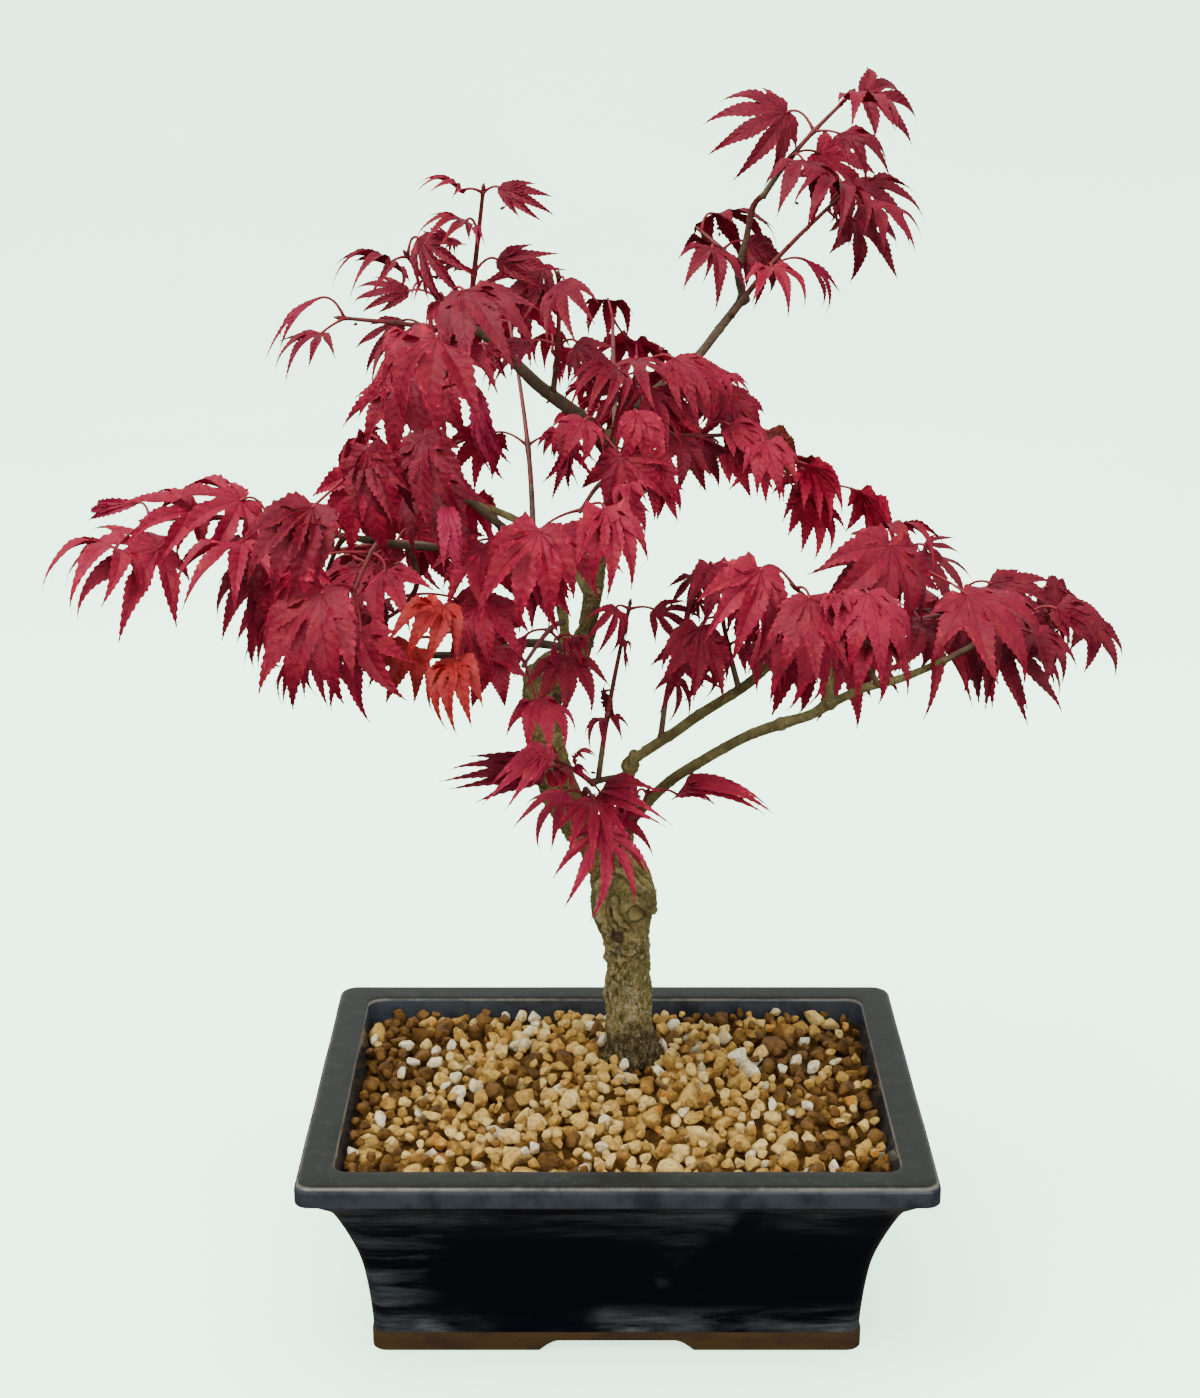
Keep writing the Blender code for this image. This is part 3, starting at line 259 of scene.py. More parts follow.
FOLDS = (  # (height, half width, line) of ridges, and of cracks where the height is below 0
    (2.2, 2, ((1.1, 17.1, 145), (6.4, 14.4, 142), (10.5, 17.2, 136.5), (12.1, 19.8, 130),
                (11.4, 18.4, 123.5))),
    (1.7, 1.5, ((-0.7, 14.8, 140), (4.7, 15.8, 138.5), (8.2, 16.2, 133), (8.7, 15.8, 128.5))),
    (1.8, 1.8, ((-6.1, 17, 135), (-5.1, 17, 124), (-2.5, 17.6, 116.5))),
    (1.3, 1.5, ((-3.3, 22, 110), (4.6, 17.6, 108.3), (10.8, 22.4, 110))),
    (1.3, 1.4, ((-1.5, 14.5, 130), (0.5, 14, 122), (4.5, 14.5, 118))),
    (-1.8, 1, ((2.4, 15.5, 141.5), (7.5, 15.5, 137.5), (10.2, 17.3, 130), (10, 17.2, 124))),
    (-1.5, 0.9, ((-4.2, 17.6, 113), (3.5, 16.8, 111), (9.8, 18.5, 112.5))),
    (-1.4, 0.9, ((-3, 15.6, 134), (-2.4, 15.2, 126), (1, 14.6, 118))),
    (-1.1, 0.8, ((-2, 20, 98), (5, 17.6, 96), (10.5, 20, 98.5))),
)
FOLD_HEIGHTS = (92, 150)
FOLD_GROOVE = 0.6  # depth of the grooves on both sides of a ridge
BARK_READINGS = ("age", "grey", "red", "foot", "crack", "bare", "stain", "moss", "speckled", "crest")
STAINS = (((0.3, 15.5, 114.5), 3.6), ((-20, 13.5, 200), 4.5))
MOSSES = (((9.8, 19, 100), 6.5), ((-2.5, 19, 132), 4), ((-22, 14, 178), 4.5),
          ((5, 16, 69), 7.5))

# ------------------------ foliage

# A spray's stem leaves a limb at a share of its length (1 is the tip) and ends at tip. It
# has leaf pairs along its outer part, and side twigs that each end in a pair.
Spray = namedtuple("Spray", "name limb along tip pairs forks leaf seed")

SPRAYS = [Spray(*row) for row in (
    ("far_left", "left_reaching_bough", 1.0, (-144, -11, 266), 3, 0, 25, 22),
    ("left_front", "left_reaching_bough", 0.8, (-76, -60, 257), 2, 0, 33, 42),
    ("left_outer", "left_reaching_bough", 0.95, (-91, -3, 246), 2, 1, 26.5, 18),
    ("left_upper", "left_reaching_bough", 0.5, (-98, 12, 249), 2, 0, 28, 8),
    ("left_behind", "left_reaching_bough", 0.65, (-100, 65, 205), 2, 0, 29, 94),
    ("left_lower", "left_low_bough", 1.0, (-46, -67, 251), 2, 0, 23, 89),
    ("left_inner", "left_rising_bough", 0.3, (-38, -46, 262), 2, 1, 23, 17),
    ("crown_outer", "crown_left_bough", 0.97, (-84, 7, 325), 2, 0, 21.5, 99),
    ("crown_outer_high", "crown_left_bough", 1.0, (-63, -2, 345), 2, 0, 21.5, 78),
    ("apex_left", "crown_left_bough", 0.93, (-40, -2, 364), 3, 0, 17.5, 86),
    ("crown_front", "left_rising_bough", 1.0, (-49, -37, 332), 2, 0, 31, 20),
    ("crown_low", "left_rising_bough", 0.72, (-72, -50, 294), 2, 1, 30, 45),
    ("crown_behind", "crown_left_bough", 0.7, (-79, 80, 269), 2, 0, 29.5, 8),
    ("crown_middle", "crown_left_bough", 0.35, (-18, 8, 337), 2, 0, 21.5, 90),
    ("centre_top", "crown_right_bough", 0.25, (7, 15, 309), 3, 0, 22, 97),
    ("centre_front", "trunk", 0.96, (-5, -16, 295), 2, 1, 21.5, 20),
    ("centre_heart", "trunk", 0.93, (-11, -48, 278), 1, 0, 32.5, 89),
    ("centre_low", "left_stem", 0.6, (-28, -40, 229), 2, 0, 22.5, 34),
    ("right_high", "crown_right_bough", 0.5, (25, 28, 303), 2, 0, 21.5, 41),
    ("right_middle", "crown_right_bough", 0.22, (40, 18, 287), 3, 0, 20.5, 35),
    ("apex_right", "crown_right_shoot", 1.0, (69, 33, 387), 3, 0, 21, 78),
    ("apex_right_low", "crown_right_bough", 0.9, (70, 25, 361), 2, 1, 21, 1),
    ("apex_right_inner", "crown_right_shoot", 0.3, (27, 50, 346), 2, 0, 20.5, 86),
    ("right_upper", "right_rising_bough", 1.0, (80, 4, 257), 2, 0, 23, 21),
    ("right_rise_out", "right_rising_bough", 0.8, (109, 1, 233), 2, 1, 27.5, 1),
    ("right_centre", "right_mid_bough", 1.0, (86, -21, 257), 2, 0, 34, 64),
    ("right_centre_high", "right_mid_bough", 0.75, (31, 1, 243), 3, 0, 24, 34),
    ("right_front", "right_low_bough_end", 0.45, (51, -51, 256), 1, 1, 28, 58),
    ("far_right", "right_low_bough_end", 1.0, (137, 8, 234), 3, 1, 22, 19),
    ("right_behind", "right_rising_bough", 0.5, (143, 88, 211), 2, 0, 28.5, 66),
    ("middle_behind", "right_mid_bough", 0.9, (71, 58, 220), 2, 0, 31, 27),
    ("inner_right", "right_mid_bough", 0.2, (27, 12, 242), 2, 0, 16.5, 8),
    ("inner_shoot", "cut_stub", 0.85, (4, 13, 232), 2, 0, 15.5, 99),
    ("sprout_left", "cut_stub", 1.0, (-19, -19, 191), 2, 0, 21, 88),
    ("sprout_front", "trunk", 0.44, (-7, -20, 178), 2, 0, 23.5, 53),
    ("sprout_right", "right_stem", 0.35, (10, 6, 171), 1, 0, 24, 23),
    ("back_left_outer", "back_left_bough", 1.0, (-76, 103, 237), 3, 0, 32.5, 20),
    ("back_left_high", "back_left_bough", 0.6, (-37, 103, 310), 2, 0, 33, 86),
    ("back_right_outer", "back_right_bough", 1.0, (66, 94, 254), 3, 0, 25, 24),
    ("back_middle", "back_right_bough", 0.5, (8, 110, 291), 2, 0, 30, 66),
    ("back_high", "crown_right_bough", 0.12, (-1, 100, 311), 2, 0, 23, 28),
)]

TWIG_RADIUS = 1.05
TWIG_TIP_RADIUS = 0.6
STEM_PARTS = 3
STEM_RISE = 0.2  # how far a stem's control point lies above its middle, as a share of its length
LEAD = 0.3  # a stem first heads straight out from its limb, for this share of its length
LONGEST_LEAD = 6.0
FIRST_PAIR = 0.42  # the first pair of leaves on a stem, as a share of its length
LAST_PAIR = 0.985
LAST_FORK = 0.9
FORK_LENGTH = 0.38  # of a side twig, as a share of its stem's length
FORK_PARTS = 2
FORK_ONWARD = 0.7  # a side twig's heading: sideways, with this much on along the stem
FORK_UP = 0.12
FORK_RISE = 0.03
FORK_PAIR = 0.98
TWIST = 25.0  # degrees a pair of leaves may turn round its twig

TWIG_TRIES = 24
SWAY = 0.03  # a blocked twig bends aside, by this share of its length more at each try
LEAF_TRIES = 12
TEST_GROWTH = 1.05  # a leaf is tested for room this much larger
TEST_MARGIN = 0.45

PETIOLE_RADIUS = 0.5
PETIOLE_PARTS = 2
PETIOLE = 0.62  # a stalk's length, as a share of its leaf's
PETIOLE_SPREAD = (0.75, 1.2)
PETIOLE_BEND = 0.6  # of the stalk rises, and the rest turns down to the blade
SIDEWAYS = (0.7, 1.0)  # a stalk's heading is a mix of these: away from the twig,
ONWARD = (0.2, 0.7)  # on along the twig,
UPWARD = (0.0, 0.5)  # up,
LIGHTWARD = (0.0, 0.6)  # and to where the light comes from
BEND_LEVEL = 0.8  # the stalk's last stretch, along the ground
BEND_DOWN = 0.35  # and down
LEVEL_HEADING = 0.9  # a blade points along its stalk
LEVEL_LIGHT = 0.6  # and to the light
LEVEL_SPREAD = 0.4
HANG = (18.0, 62.0)  # degrees between a blade's middle lobe and straight down
NORMAL_LIGHT = 0.85  # a blade faces the light
NORMAL_UP = 0.55  # and up
NORMAL_SPREAD = 0.3
OUTWARD_LIGHT = 0.55  # near the front, the light comes from the front more than from outside
FRONT_LIMIT = 48.0
CROWN_AXIS = Vector((-4.0, 24.0))

LEAF_SPREAD = (0.78, 1.15)
LEAF_THICKNESS = 0.022
LEAF_DROOP = 0.2
LEAF_HEART = 0.08  # from the stalk's end to the thickest place, as a share of the length
SHOULDER = 0.55  # where a lobe is widest, as a share of its length
SHUT_SHARE = 0.12  # of the leaves are young and still shut
OPEN_LENGTH = 23.0  # shorter leaves have five lobes in place of seven

# The kinds of leaf: (angle from the middle lobe, length) of the lobes on one side, how many of
# them have shoulders, the lobes' half width and how deep the blade is between them.
Kind = namedtuple("Kind", "lobes shouldered half_width cut")
KINDS = {
    "open": Kind(((0.0, 1.0), (37.0, 0.93), (73.0, 0.72), (112.0, 0.38)), 2, 0.11, 0.3),
    "small": Kind(((0.0, 1.0), (40.0, 0.88), (82.0, 0.58)), 1, 0.12, 0.32),
    "shut": Kind(((0.0, 1.0), (15.0, 0.82)), 1, 0.06, 0.42),
}

TOOTH_COUNT = 12  # along half a lobe as long as the leaf
TOOTH_AT = 0.72  # where a tooth's tip lies between two steps
BASE_STEPS = 3
NOTCH = 0.05
VEIN_WIDTH = 0.01
RIB_THICKNESS = 0.016
QUILT = 0.006
RIB_SLANT = 1.2  # how far a side vein runs forward as it runs out
RIB_SPACING = 0.1
LOBE_FULLNESS = 0.86
CUT_DEPTH = 0.84  # how near to the stalk the blade is cut, against the frame's leaves
LOBE_SHARES = (0.0, 0.14, 0.3, 0.4, 0.54, 0.68, 0.8, 0.9, 1.0)
LOBE_BELLY = (0.0, 0.6, 0.98, 1.0, 0.8, 0.54, 0.32, 0.14, 0.0)
FINISHES = ("blade", "vein", "under")
DROOP_SPREAD = (0.5, 1.4)
FRAME_DROOP = 0.1  # how far the frame's own leaves bend, in radians
LOBE_CURL = (-0.1, 0.8)
LOBE_SWAY = 0.09
LEAF_FOLD = (0.2, 0.9)
EDGE_WAVE = 0.25
LEAF_CLOSING = (0.5, 1.0)  # lobes stand this near to their full spread
YOUNG_SPREAD = (0.75, 1.3)
TINY = 1e-6

LEAF_EDGE = math.radians(75)
STALK_STEPS = 7
STALK_RADIUS = 0.42
TWIG_STEPS = 10
FOOT_FLARE = 1.25
TWIG_FOOT = 1.4
BUD_LENGTH = 2.6
SMALL_BUD = 0.7
BUD_SHARES = (0.0, 0.35, 0.75, 1.1)
BUD_WIDTHS = (0.18, 0.3, 0.2, 0.03)
FINE_SHARES = (0.55, 0.8)  # where the finest twigs leave, as shares of their bearer's length
FINE_LEAF = 0.48
FINE_SEED = 700
FINE_LENGTH = (0.25, 0.5)
FINE_RADIUS = 0.45
EDGE_ROOM = 18.0
BARE_SHARE = 0.72  # of the finest twigs end in a bud
# Sprays of young leaves: how far the lobes are open, degrees that they stand out, and the
# lobes' width and length against grown leaves.
YOUNG = {
    "sprout_left": (0.22, 56, 0.5, 1.75), "sprout_front": (0.66, 8, 0.52, 1.25),
    "sprout_right": (0.15, 48, 0.5, 2.0), "inner_shoot": (0.6, 20, 0.55, 1.3),
    "inner_right": (0.65, 25, 0.55, 1.3), "apex_left": (0.45, 45, 0.55, 1.3),
    "crown_outer_high": (0.6, 25, 0.5, 1.2), "crown_outer": (0.55, 20, 0.5, 1.2),
    "crown_middle": (0.6, 10, 0.55, 1.2), "apex_right": (0.72, 20, 0.75, 1.3),
    "apex_right_inner": (0.8, 10, 0.8, 1.35), "apex_right_low": (0.85, 5, 0.8, 1.15),
    "centre_top": (0.65, 15, 0.6, 1.2), "right_upper": (0.7, 30, 0.7, 1.28),
    "right_rise_out": (0.75, 15, 0.7, 1.28), "far_left": (0.8, 25, 0.8, 1.3),
}
RED_SHARE = 0.25  # a spray's stem turns red this far along
NODE_SWELL = 0.35
NODE_LENGTH = 0.03
# Each spray's main tint. Garnet and wine are darker copies of crimson, a painted shade: for leaves in half
# shade and inside the crown, and to darken the upper sprays that the light from above catches.
SPRAY_TINTS = {name: tint for tint, names in (
    # Rose is partly the sprouts' own young colour and partly painted light, made lighter against the
    # crown's shade.
    ("rose", "sprout_left sprout_front sprout_right"),
    ("scarlet", "left_lower"),
    ("crimson", "far_left left_front centre_heart right_high"),
    ("garnet", "centre_top right_centre right_centre_high"),
    ("wine", "crown_low crown_front crown_outer crown_outer_high crown_middle apex_left apex_right "
             "apex_right_inner apex_right_low right_upper right_rise_out far_right"),
) for name in names.split()}
TINT_KEPT = 0.8  # of a spray's leaves have its own tint
TURNED_SHARE = 0.025  # of the other leaves turn to orange or scarlet
INNER_Y = (-20.0, 70.0)  # from the crown's bright front to its inside
WINE_SHARE = 0.2  # of the shaded leaves are wine, and the others garnet

SENSOR = 36.0
FLOOR_RADIUS = 3.0
FLOOR_SIDES = 96
FLOOR_DROP = 0.0002
SWEEP = 1.2
SWEEP_STEPS = 12
WALL_HEIGHT = 5.0
FLOOR_GLOW = 2.45
LIGHTS = (  # (name, place, target, size, share of the lights' power)
    ("overhead", (-0.55, -0.45, 1.3), (0.0, 0.0, 0.2), 0.8, 0.5),
    ("front", (0.7, -1.3, 0.6), (0.0, 0.0, 0.15), 1.2, 0.33),
    ("behind", (-0.2, 1.4, 0.9), (0.0, 0.0, 0.2), 1.2, 0.17),
)
FLOOR_LIGHT = ("floor_light", (0.0, 0.0, 3.2), (0.0, 0.0, 0.0), 3.4)
SKY_COLOUR = (0.93, 0.97, 1.0)
DIM_BELOW = (0.1, 0.095, 0.09)
HORIZON = (0.0, 0.12)

# ------------------------ settings


def colour_setting(name, description, *shades):
    """A colour that a user can change, given by its everyday values."""
    return FloatVectorProperty(name=name, description=description, subtype="COLOR", size=3,
                               min=0.0, max=1.0, default=tone(*shades))


def number_setting(name, description, default, least=0.0, **kind):
    """A number that a user can change, with its unit or subtype."""
    return FloatProperty(name=name, description=description, default=default, min=least, **kind)


def length_setting(name, description, default):
    """A small length that a user can change, given in millimetres."""
    return number_setting(name, description, default * MM, subtype="DISTANCE", unit="LENGTH", precision=5)


class PotSettings(bpy.types.PropertyGroup):
    """Glaze and clay of the pot."""

    waviness: length_setting("Waviness", "How far the walls wander from true", 0.35)
    wave_size: length_setting("Wave size", "From one swelling of the wall to the next", 45.0)
    deep: colour_setting("Deep glaze", "Thick glaze on the walls", 4, 6, 14)
    # The thin glaze colour also paints a reflection on the upper wall and on the pot's left end.
    thin_glaze_and_reflection: colour_setting("Thin glaze", "Brushed bands where the glaze is thin", 84, 90, 90)
    navy: colour_setting("Lip glaze", "Glaze on the front of the lip", 56, 61, 66)
    slate: colour_setting("Rim glaze", "Glaze on the rim's flat top", 28, 30, 20)
    # Also paints a highlight: the pale line along the rim's top edges is partly wear, partly a painted
    # highlight.
    worn_and_highlight: colour_setting("Worn edges", "Clay showing through along the edges", 118, 112, 98)
    clay: colour_setting("Clay", "Bare clay of the foot", 66, 48, 15)
    scorched: colour_setting("Scorched clay", "Darker clay of the foot", 54, 34, 16)


class SoilSettings(bpy.types.PropertyGroup):
    """The grains on top of the soil."""

    smallest: length_setting("Smallest grain", "Width of the finest grains", 3.4)
    largest: length_setting("Largest grain", "Width of the coarsest grains", 10.6)
    tries: IntProperty(name="Tries", description="Places tried for a grain", default=14000, min=100)
    sunk: length_setting("Bed depth", "How far the earth lies below the grains' tops", 5.0)
    earth: colour_setting("Earth", "Fine damp earth between the grains", 82, 54, 18)
    straw: colour_setting("Straw grains", "The palest clay grains", 244, 210, 132)
    tan: colour_setting("Tan grains", "Baked clay grains", 226, 186, 100)
    brown: colour_setting("Brown grains", "Darker baked clay grains", 194, 150, 70)
    umber: colour_setting("Umber grains", "The darkest dry grains", 150, 108, 48)
    damp: colour_setting("Damp grains", "Wet clay grains", 124, 86, 30)
    ochre: colour_setting("Ochre grains", "Rusty grains", 196, 128, 48)
    cream: colour_setting("Cream grains", "Pumice", 252, 243, 208)


class BarkSettings(bpy.types.PropertyGroup):
    """Bark of the trunk and boughs."""

    fineness: length_setting("Fineness", "Size of the bark mesh's cells", 0.5)
    crack_depth: length_setting("Crack depth", "Depth of the cracks in old bark", 1.2)
    plate_size: length_setting("Plate size", "Width of a plate of old bark", 3.2)
    lumpiness: length_setting("Lumpiness", "How far old bark swells and sinks", 0.9)
    old: colour_setting("Old bark", "Plates of the trunk's bark", 190, 168, 100)
    pale: colour_setting("Pale bark", "Cream patches of old bark", 224, 210, 172)
    crack: colour_setting("Cracks", "Depth of the cracks", 60, 46, 24)
    scar: colour_setting("Scars", "Bare wood of the healed cuts", 186, 166, 108)
    stain: colour_setting("Stains", "Dark purple-brown patches", 96, 76, 60)
    # Also used as painted shade on the trunk's right side.
    moss: colour_setting("Moss", "Green bloom on the bark", 122, 114, 62)
    young: colour_setting("Young bark", "Smooth olive bark of the boughs", 164, 150, 94)
    red: colour_setting("Red bark", "Bark of the newest shoot", 120, 30, 40)
    grey: colour_setting("Grey bark", "Smooth bark of the upper boughs", 120, 102, 78)


class FoliageSettings(bpy.types.PropertyGroup):
    """Twigs, stalks and leaves."""

    droop: number_setting("Droop", "How far a leaf bends along its length", 1.3, 0.1, subtype="ANGLE")
    tooth: number_setting("Teeth", "Height of a leaf's teeth as a share of its length", 0.028)
    twig: colour_setting("Twigs", "Older twigs", 108, 90, 62)
    shoot: colour_setting("Shoots", "New shoots", 124, 32, 38)
    stalk: colour_setting("Leaf stalks", "Stalks of the leaves", 142, 24, 42)
    bud: colour_setting("Buds", "Scales of the buds", 84, 44, 36)
    crimson: colour_setting("Crimson leaves", "Leaves in full light", 143, 17, 48)
    # Rose is partly the young leaves' own colour and partly painted light for the sprouts in the crown's
    # shade.
    rose: colour_setting("Rose leaves", "Bright young leaves of the sprouts", 172, 36, 70)
    # Garnet and wine are darker copies of crimson, as painted shade.
    garnet: colour_setting("Garnet leaves", "Leaves in half shade", 126, 13, 40)
    wine: colour_setting("Wine leaves", "Leaves inside the crown", 112, 11, 36)
    magenta: colour_setting("Magenta leaves", "Young leaves that are still shut", 138, 11, 52)
    scarlet: colour_setting("Scarlet leaves", "Leaves that turn to scarlet", 144, 26, 30)
    orange: colour_setting("Orange leaves", "A few leaves that turn to orange", 102, 30, 28)


class StageSettings(bpy.types.PropertyGroup):
    """Camera, floor and lights."""

    floor: colour_setting("Floor", "Plain floor and wall behind", 206, 249, 217)
    distance: length_setting("Camera distance", "From the pot's middle to the camera, along y", 699.1)
    height: length_setting("Camera height", "From the floor to the camera", 434.2)
    aside: length_setting("Camera aside", "From the pot's middle to the left", 5.4)
    tilt: number_setting("Camera tilt", "Down from level", math.radians(18.15), subtype="ANGLE")
    lens: number_setting("Lens", "Focal length in millimetres", 59.54, 1.0)
    light_power: number_setting("Lights", "Power of the soft lights in all", 42.0, unit="POWER")
    floor_power: number_setting("Floor light", "Power of the floor's own light", 240.0, unit="POWER")
    sky: number_setting("Sky", "Strength of the light all round", 1.02)


# ------------------------ pieces and finishes


class Finish:
    """A material's nodes, added with short calls. A socket takes a value or another node's output."""

    def __init__(self, name):
        self.material = bpy.data.materials.new(name)
        self.material.use_nodes = True
        self.tree = self.material.node_tree
        self.shader = self.tree.nodes["Principled BSDF"]

    def put(self, node, sockets):
        for name, value in sockets.items():
            socket = node.inputs[name]
            if isinstance(value, bpy.types.NodeSocket):
                self.tree.links.new(value, socket)
            elif socket.type == "RGBA":
                socket.default_value = (*value, 1.0)
            else:
                socket.default_value = value

    def shade(self, colour, rough, shine, normal=None, **others):
        """Sets the shader's own sockets. Others are named with _ for spaces."""
        sockets = {"Base Color": colour, "Roughness": rough, "Specular IOR Level": shine}
        if normal:
            sockets["Normal"] = normal
        sockets.update((name.replace("_", " "), value) for name, value in others.items())
        self.put(self.shader, sockets)
        return self.material

    def node(self, kind, settings, sockets):
        node = self.tree.nodes.new(kind)
        for name, value in settings.items():
            setattr(node, name, value)
        self.put(node, sockets)
        return node

    def place(self, stretch=(1.0, 1.0, 1.0)):
        """Places on the piece, in metres, each axis scaled by its stretch."""
        coordinates = self.node("ShaderNodeTexCoord", {}, {})
        sockets = {"Vector": coordinates.outputs["Object"], "Scale": stretch}
        return self.node("ShaderNodeMapping", {}, sockets).outputs[0]

    def axis(self, name):
        """One coordinate of the place, in metres."""
        split = self.node("ShaderNodeSeparateXYZ", {}, {"Vector": self.place()})
        return split.outputs[name]

    def noise(self, size, detail=4.0, rough=0.55, warp=0.0, stretch=(1.0, 1.0, 1.0)):
        """Cloudy noise, from one patch to the next about this far in metres."""
        sockets = {"Vector": self.place(stretch), "Scale": 1 / size, "Detail": detail,
                   "Roughness": rough, "Distortion": warp}
        return self.node("ShaderNodeTexNoise", {}, sockets).outputs["Fac"]

    def cells(self, size):
        """Distance to the nearest of scattered points."""
        sockets = {"Vector": self.place(), "Scale": 1 / size}
        return self.node("ShaderNodeTexVoronoi", {}, sockets).outputs["Distance"]

    def ramp(self, value, low, high, to_low=0.0, to_high=1.0):
        """The value carried smoothly from the range low to high into another range."""
        sockets = {"Value": value, "From Min": low, "From Max": high, "To Min": to_low,
                   "To Max": to_high}
        settings = {"interpolation_type": "SMOOTHSTEP"}
        return self.node("ShaderNodeMapRange", settings, sockets).outputs[0]

    def both(self, a, b, operation="MULTIPLY"):
        """Two values put together."""
        node = self.node("ShaderNodeMath", {"operation": operation, "use_clamp": True}, {})
        self.put(node, {0: a, 1: b})
        return node.outputs[0]

    def mix(self, share, a, b):
        """The colour a with this share of the colour b."""
        node = self.node("ShaderNodeMix", {"data_type": "RGBA"}, {})
        self.put(node, {0: share, 6: a, 7: b})
        return node.outputs[2]

    def layers(self, base, *rows):
        """The base colour with others laid over it in turn, each as (share, colour)."""
        for share, colour in rows:
            base = self.mix(share, base, colour)
        return base

    def reading(self, name):
        """A value stored at the points of the mesh."""
        return self.node("ShaderNodeAttribute", {"attribute_name": name}, {}).outputs["Fac"]

    def bump(self, height, distance, normal=None):
        """A normal bent by a height, its full range this deep in metres."""
        sockets = {"Height": height, "Distance": distance, "Strength": 1.0}
        if normal:
            sockets["Normal"] = normal
        return self.node("ShaderNodeBump", {}, sockets).outputs[0]


def mesh_of(name, points, faces):
    """A smooth-shaded mesh from points in metres."""
    mesh = bpy.data.meshes.new(name)
    mesh.from_pydata(points, [], faces)
    mesh.shade_smooth()
    return mesh


def held(name, data):
    """An object in the scene for a mesh, a light or a camera."""
    obj = bpy.data.objects.new(name, data)
    bpy.context.scene.collection.objects.link(obj)
    return obj


def show(name, mesh, slot, replaced, materials=()):
    """Puts a mesh on show as a piece that rides on the plant and stands for CAD nodes."""
    for material in materials:
        mesh.materials.append(material)
    piece = held(name, mesh)
    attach(piece, "root")
    if replaced:
        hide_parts(*replaced)
    return piece


class Batch:
    """Points and faces of many small shapes that become one mesh. The points are tables' millimetres."""

    def __init__(self):
        self.points = []
        self.faces = []
        self.finishes = []
        self.ribs = []
        self.count = 0

    def add(self, points, faces, finishes=None, ribs=()):
        points = np.asarray(points, float)
        self.faces.extend([tuple(self.count + i for i in face) for face in faces])
        self.finishes.extend(finishes or [0] * len(faces))
        self.points.append(points)
        self.ribs.extend(ribs)
        self.count += len(points)

    def mesh(self, name):
        points = (np.vstack(self.points) + np.array(POT_CENTRE)) * MM
        mesh = mesh_of(name, points.tolist(), self.faces)
        mesh.polygons.foreach_set("material_index", self.finishes)
        return mesh


def ring_points(points, radii, sides, foot=None):
    """Rings of points round a line of points. The direction foot is square to the first ring."""
    verts = []
    side = None
    for i, point in enumerate(points):
        way = (points[min(i + 1, len(points) - 1)] - points[max(i - 1, 0)]).normalized()
        if foot and i == 0:
            way = foot
        side = side or way.orthogonal()
        side = (side - way * side.dot(way)).normalized()
        other = way.cross(side)
        for corner in range(sides):
            turn = math.tau * corner / sides
            verts.append(point + radii[i] * (side * math.cos(turn) + other * math.sin(turn)))
    return verts


def ring_faces(rings, sides):
    """Faces between neighbouring rings of points."""
    for start in range(0, (rings - 1) * sides, sides):
        for corner in range(sides):
            a, b = start + corner, start + (corner + 1) % sides
            yield a, b, b + sides, a + sides


def tube(points, radii, sides):
    """Points and faces of a tube along a line. Its ends are closed by low cones."""
    points = [Vector(point) for point in points]
    verts = ring_points(points, radii, sides)
    faces = list(ring_faces(len(points), sides))
    start, end = len(verts), len(verts) + 1
    verts.append(points[0] - (points[1] - points[0]).normalized() * radii[0] / 2)
    verts.append(points[-1] + (points[-1] - points[-2]).normalized() * radii[-1] / 2)
    for corner in range(sides):
        following = (corner + 1) % sides
        faces.append((following, corner, start))
        faces.append((start - sides + corner, start - sides + following, end))
    return verts, faces


def applied(obj):
    """The object's mesh as its modifiers leave it. The object itself is removed."""
    graph = bpy.context.evaluated_depsgraph_get()
    mesh = bpy.data.meshes.new_from_object(obj.evaluated_get(graph))
    bpy.data.objects.remove(obj)
    return mesh


def finished_mesh(name, bm):
    """The bmesh as a mesh with its faces pointing out."""
    bmesh.ops.recalc_face_normals(bm, faces=bm.faces)
    mesh = bpy.data.meshes.new(name)
    bm.to_mesh(mesh)
    bm.free()
    return mesh


def smooth_step(low, high, value):
    """0 below low, 1 above high, and smooth between them."""
    share = min(max((value - low) / (high - low), 0.0), 1.0)
    return share * share * (3 - 2 * share)


# ------------------------ growing rule


def smooth_route(points, steps):
    """A Catmull-Rom curve through rows of numbers."""
    rows = [points[0], *points, points[-1]]
    route = []
    for a, b, c, d in zip(rows, rows[1:], rows[2:], rows[3:]):
        for step in range(steps):
            t = step / steps
            row = []
            for p, q, r, s in zip(a, b, c, d):
                bend = 2 * p - 5 * q + 4 * r - s
                twist = 3 * q - p - 3 * r + s
                row.append(q + 0.5 * ((r - p) * t + bend * t**2 + twist * t**3))
            route.append(tuple(row))
    route.append(tuple(points[-1]))
    return route


def limb_route(limb):
    return smooth_route(limb.route, TRUNK_STEPS if limb.name == "trunk" else BOUGH_STEPS)


def leaf_outline(kind, length):
    """(angle, radius) points from one side of the leaf's stalk round to the other."""
    kind = KINDS[kind]
    right = []
    half_width = kind.half_width * length
    for i, (angle, share) in enumerate(kind.lobes):
        reach = share * length
        shoulder = SHOULDER * reach
        swing = math.degrees(math.atan2(half_width * (1 + share) / 2, shoulder))
        if i:
            before = kind.lobes[i - 1]
            cut = kind.cut * (before[1] + share) / 2 * length
            right.append(((before[0] + angle) / 2, cut))
        right.append((angle, reach))
        if i < kind.shouldered:
            right.append((angle + swing, shoulder))
    left = [(-angle, radius) for angle, radius in reversed(right[1:])]
    return [*left, *right, (180.0, 0.0)]


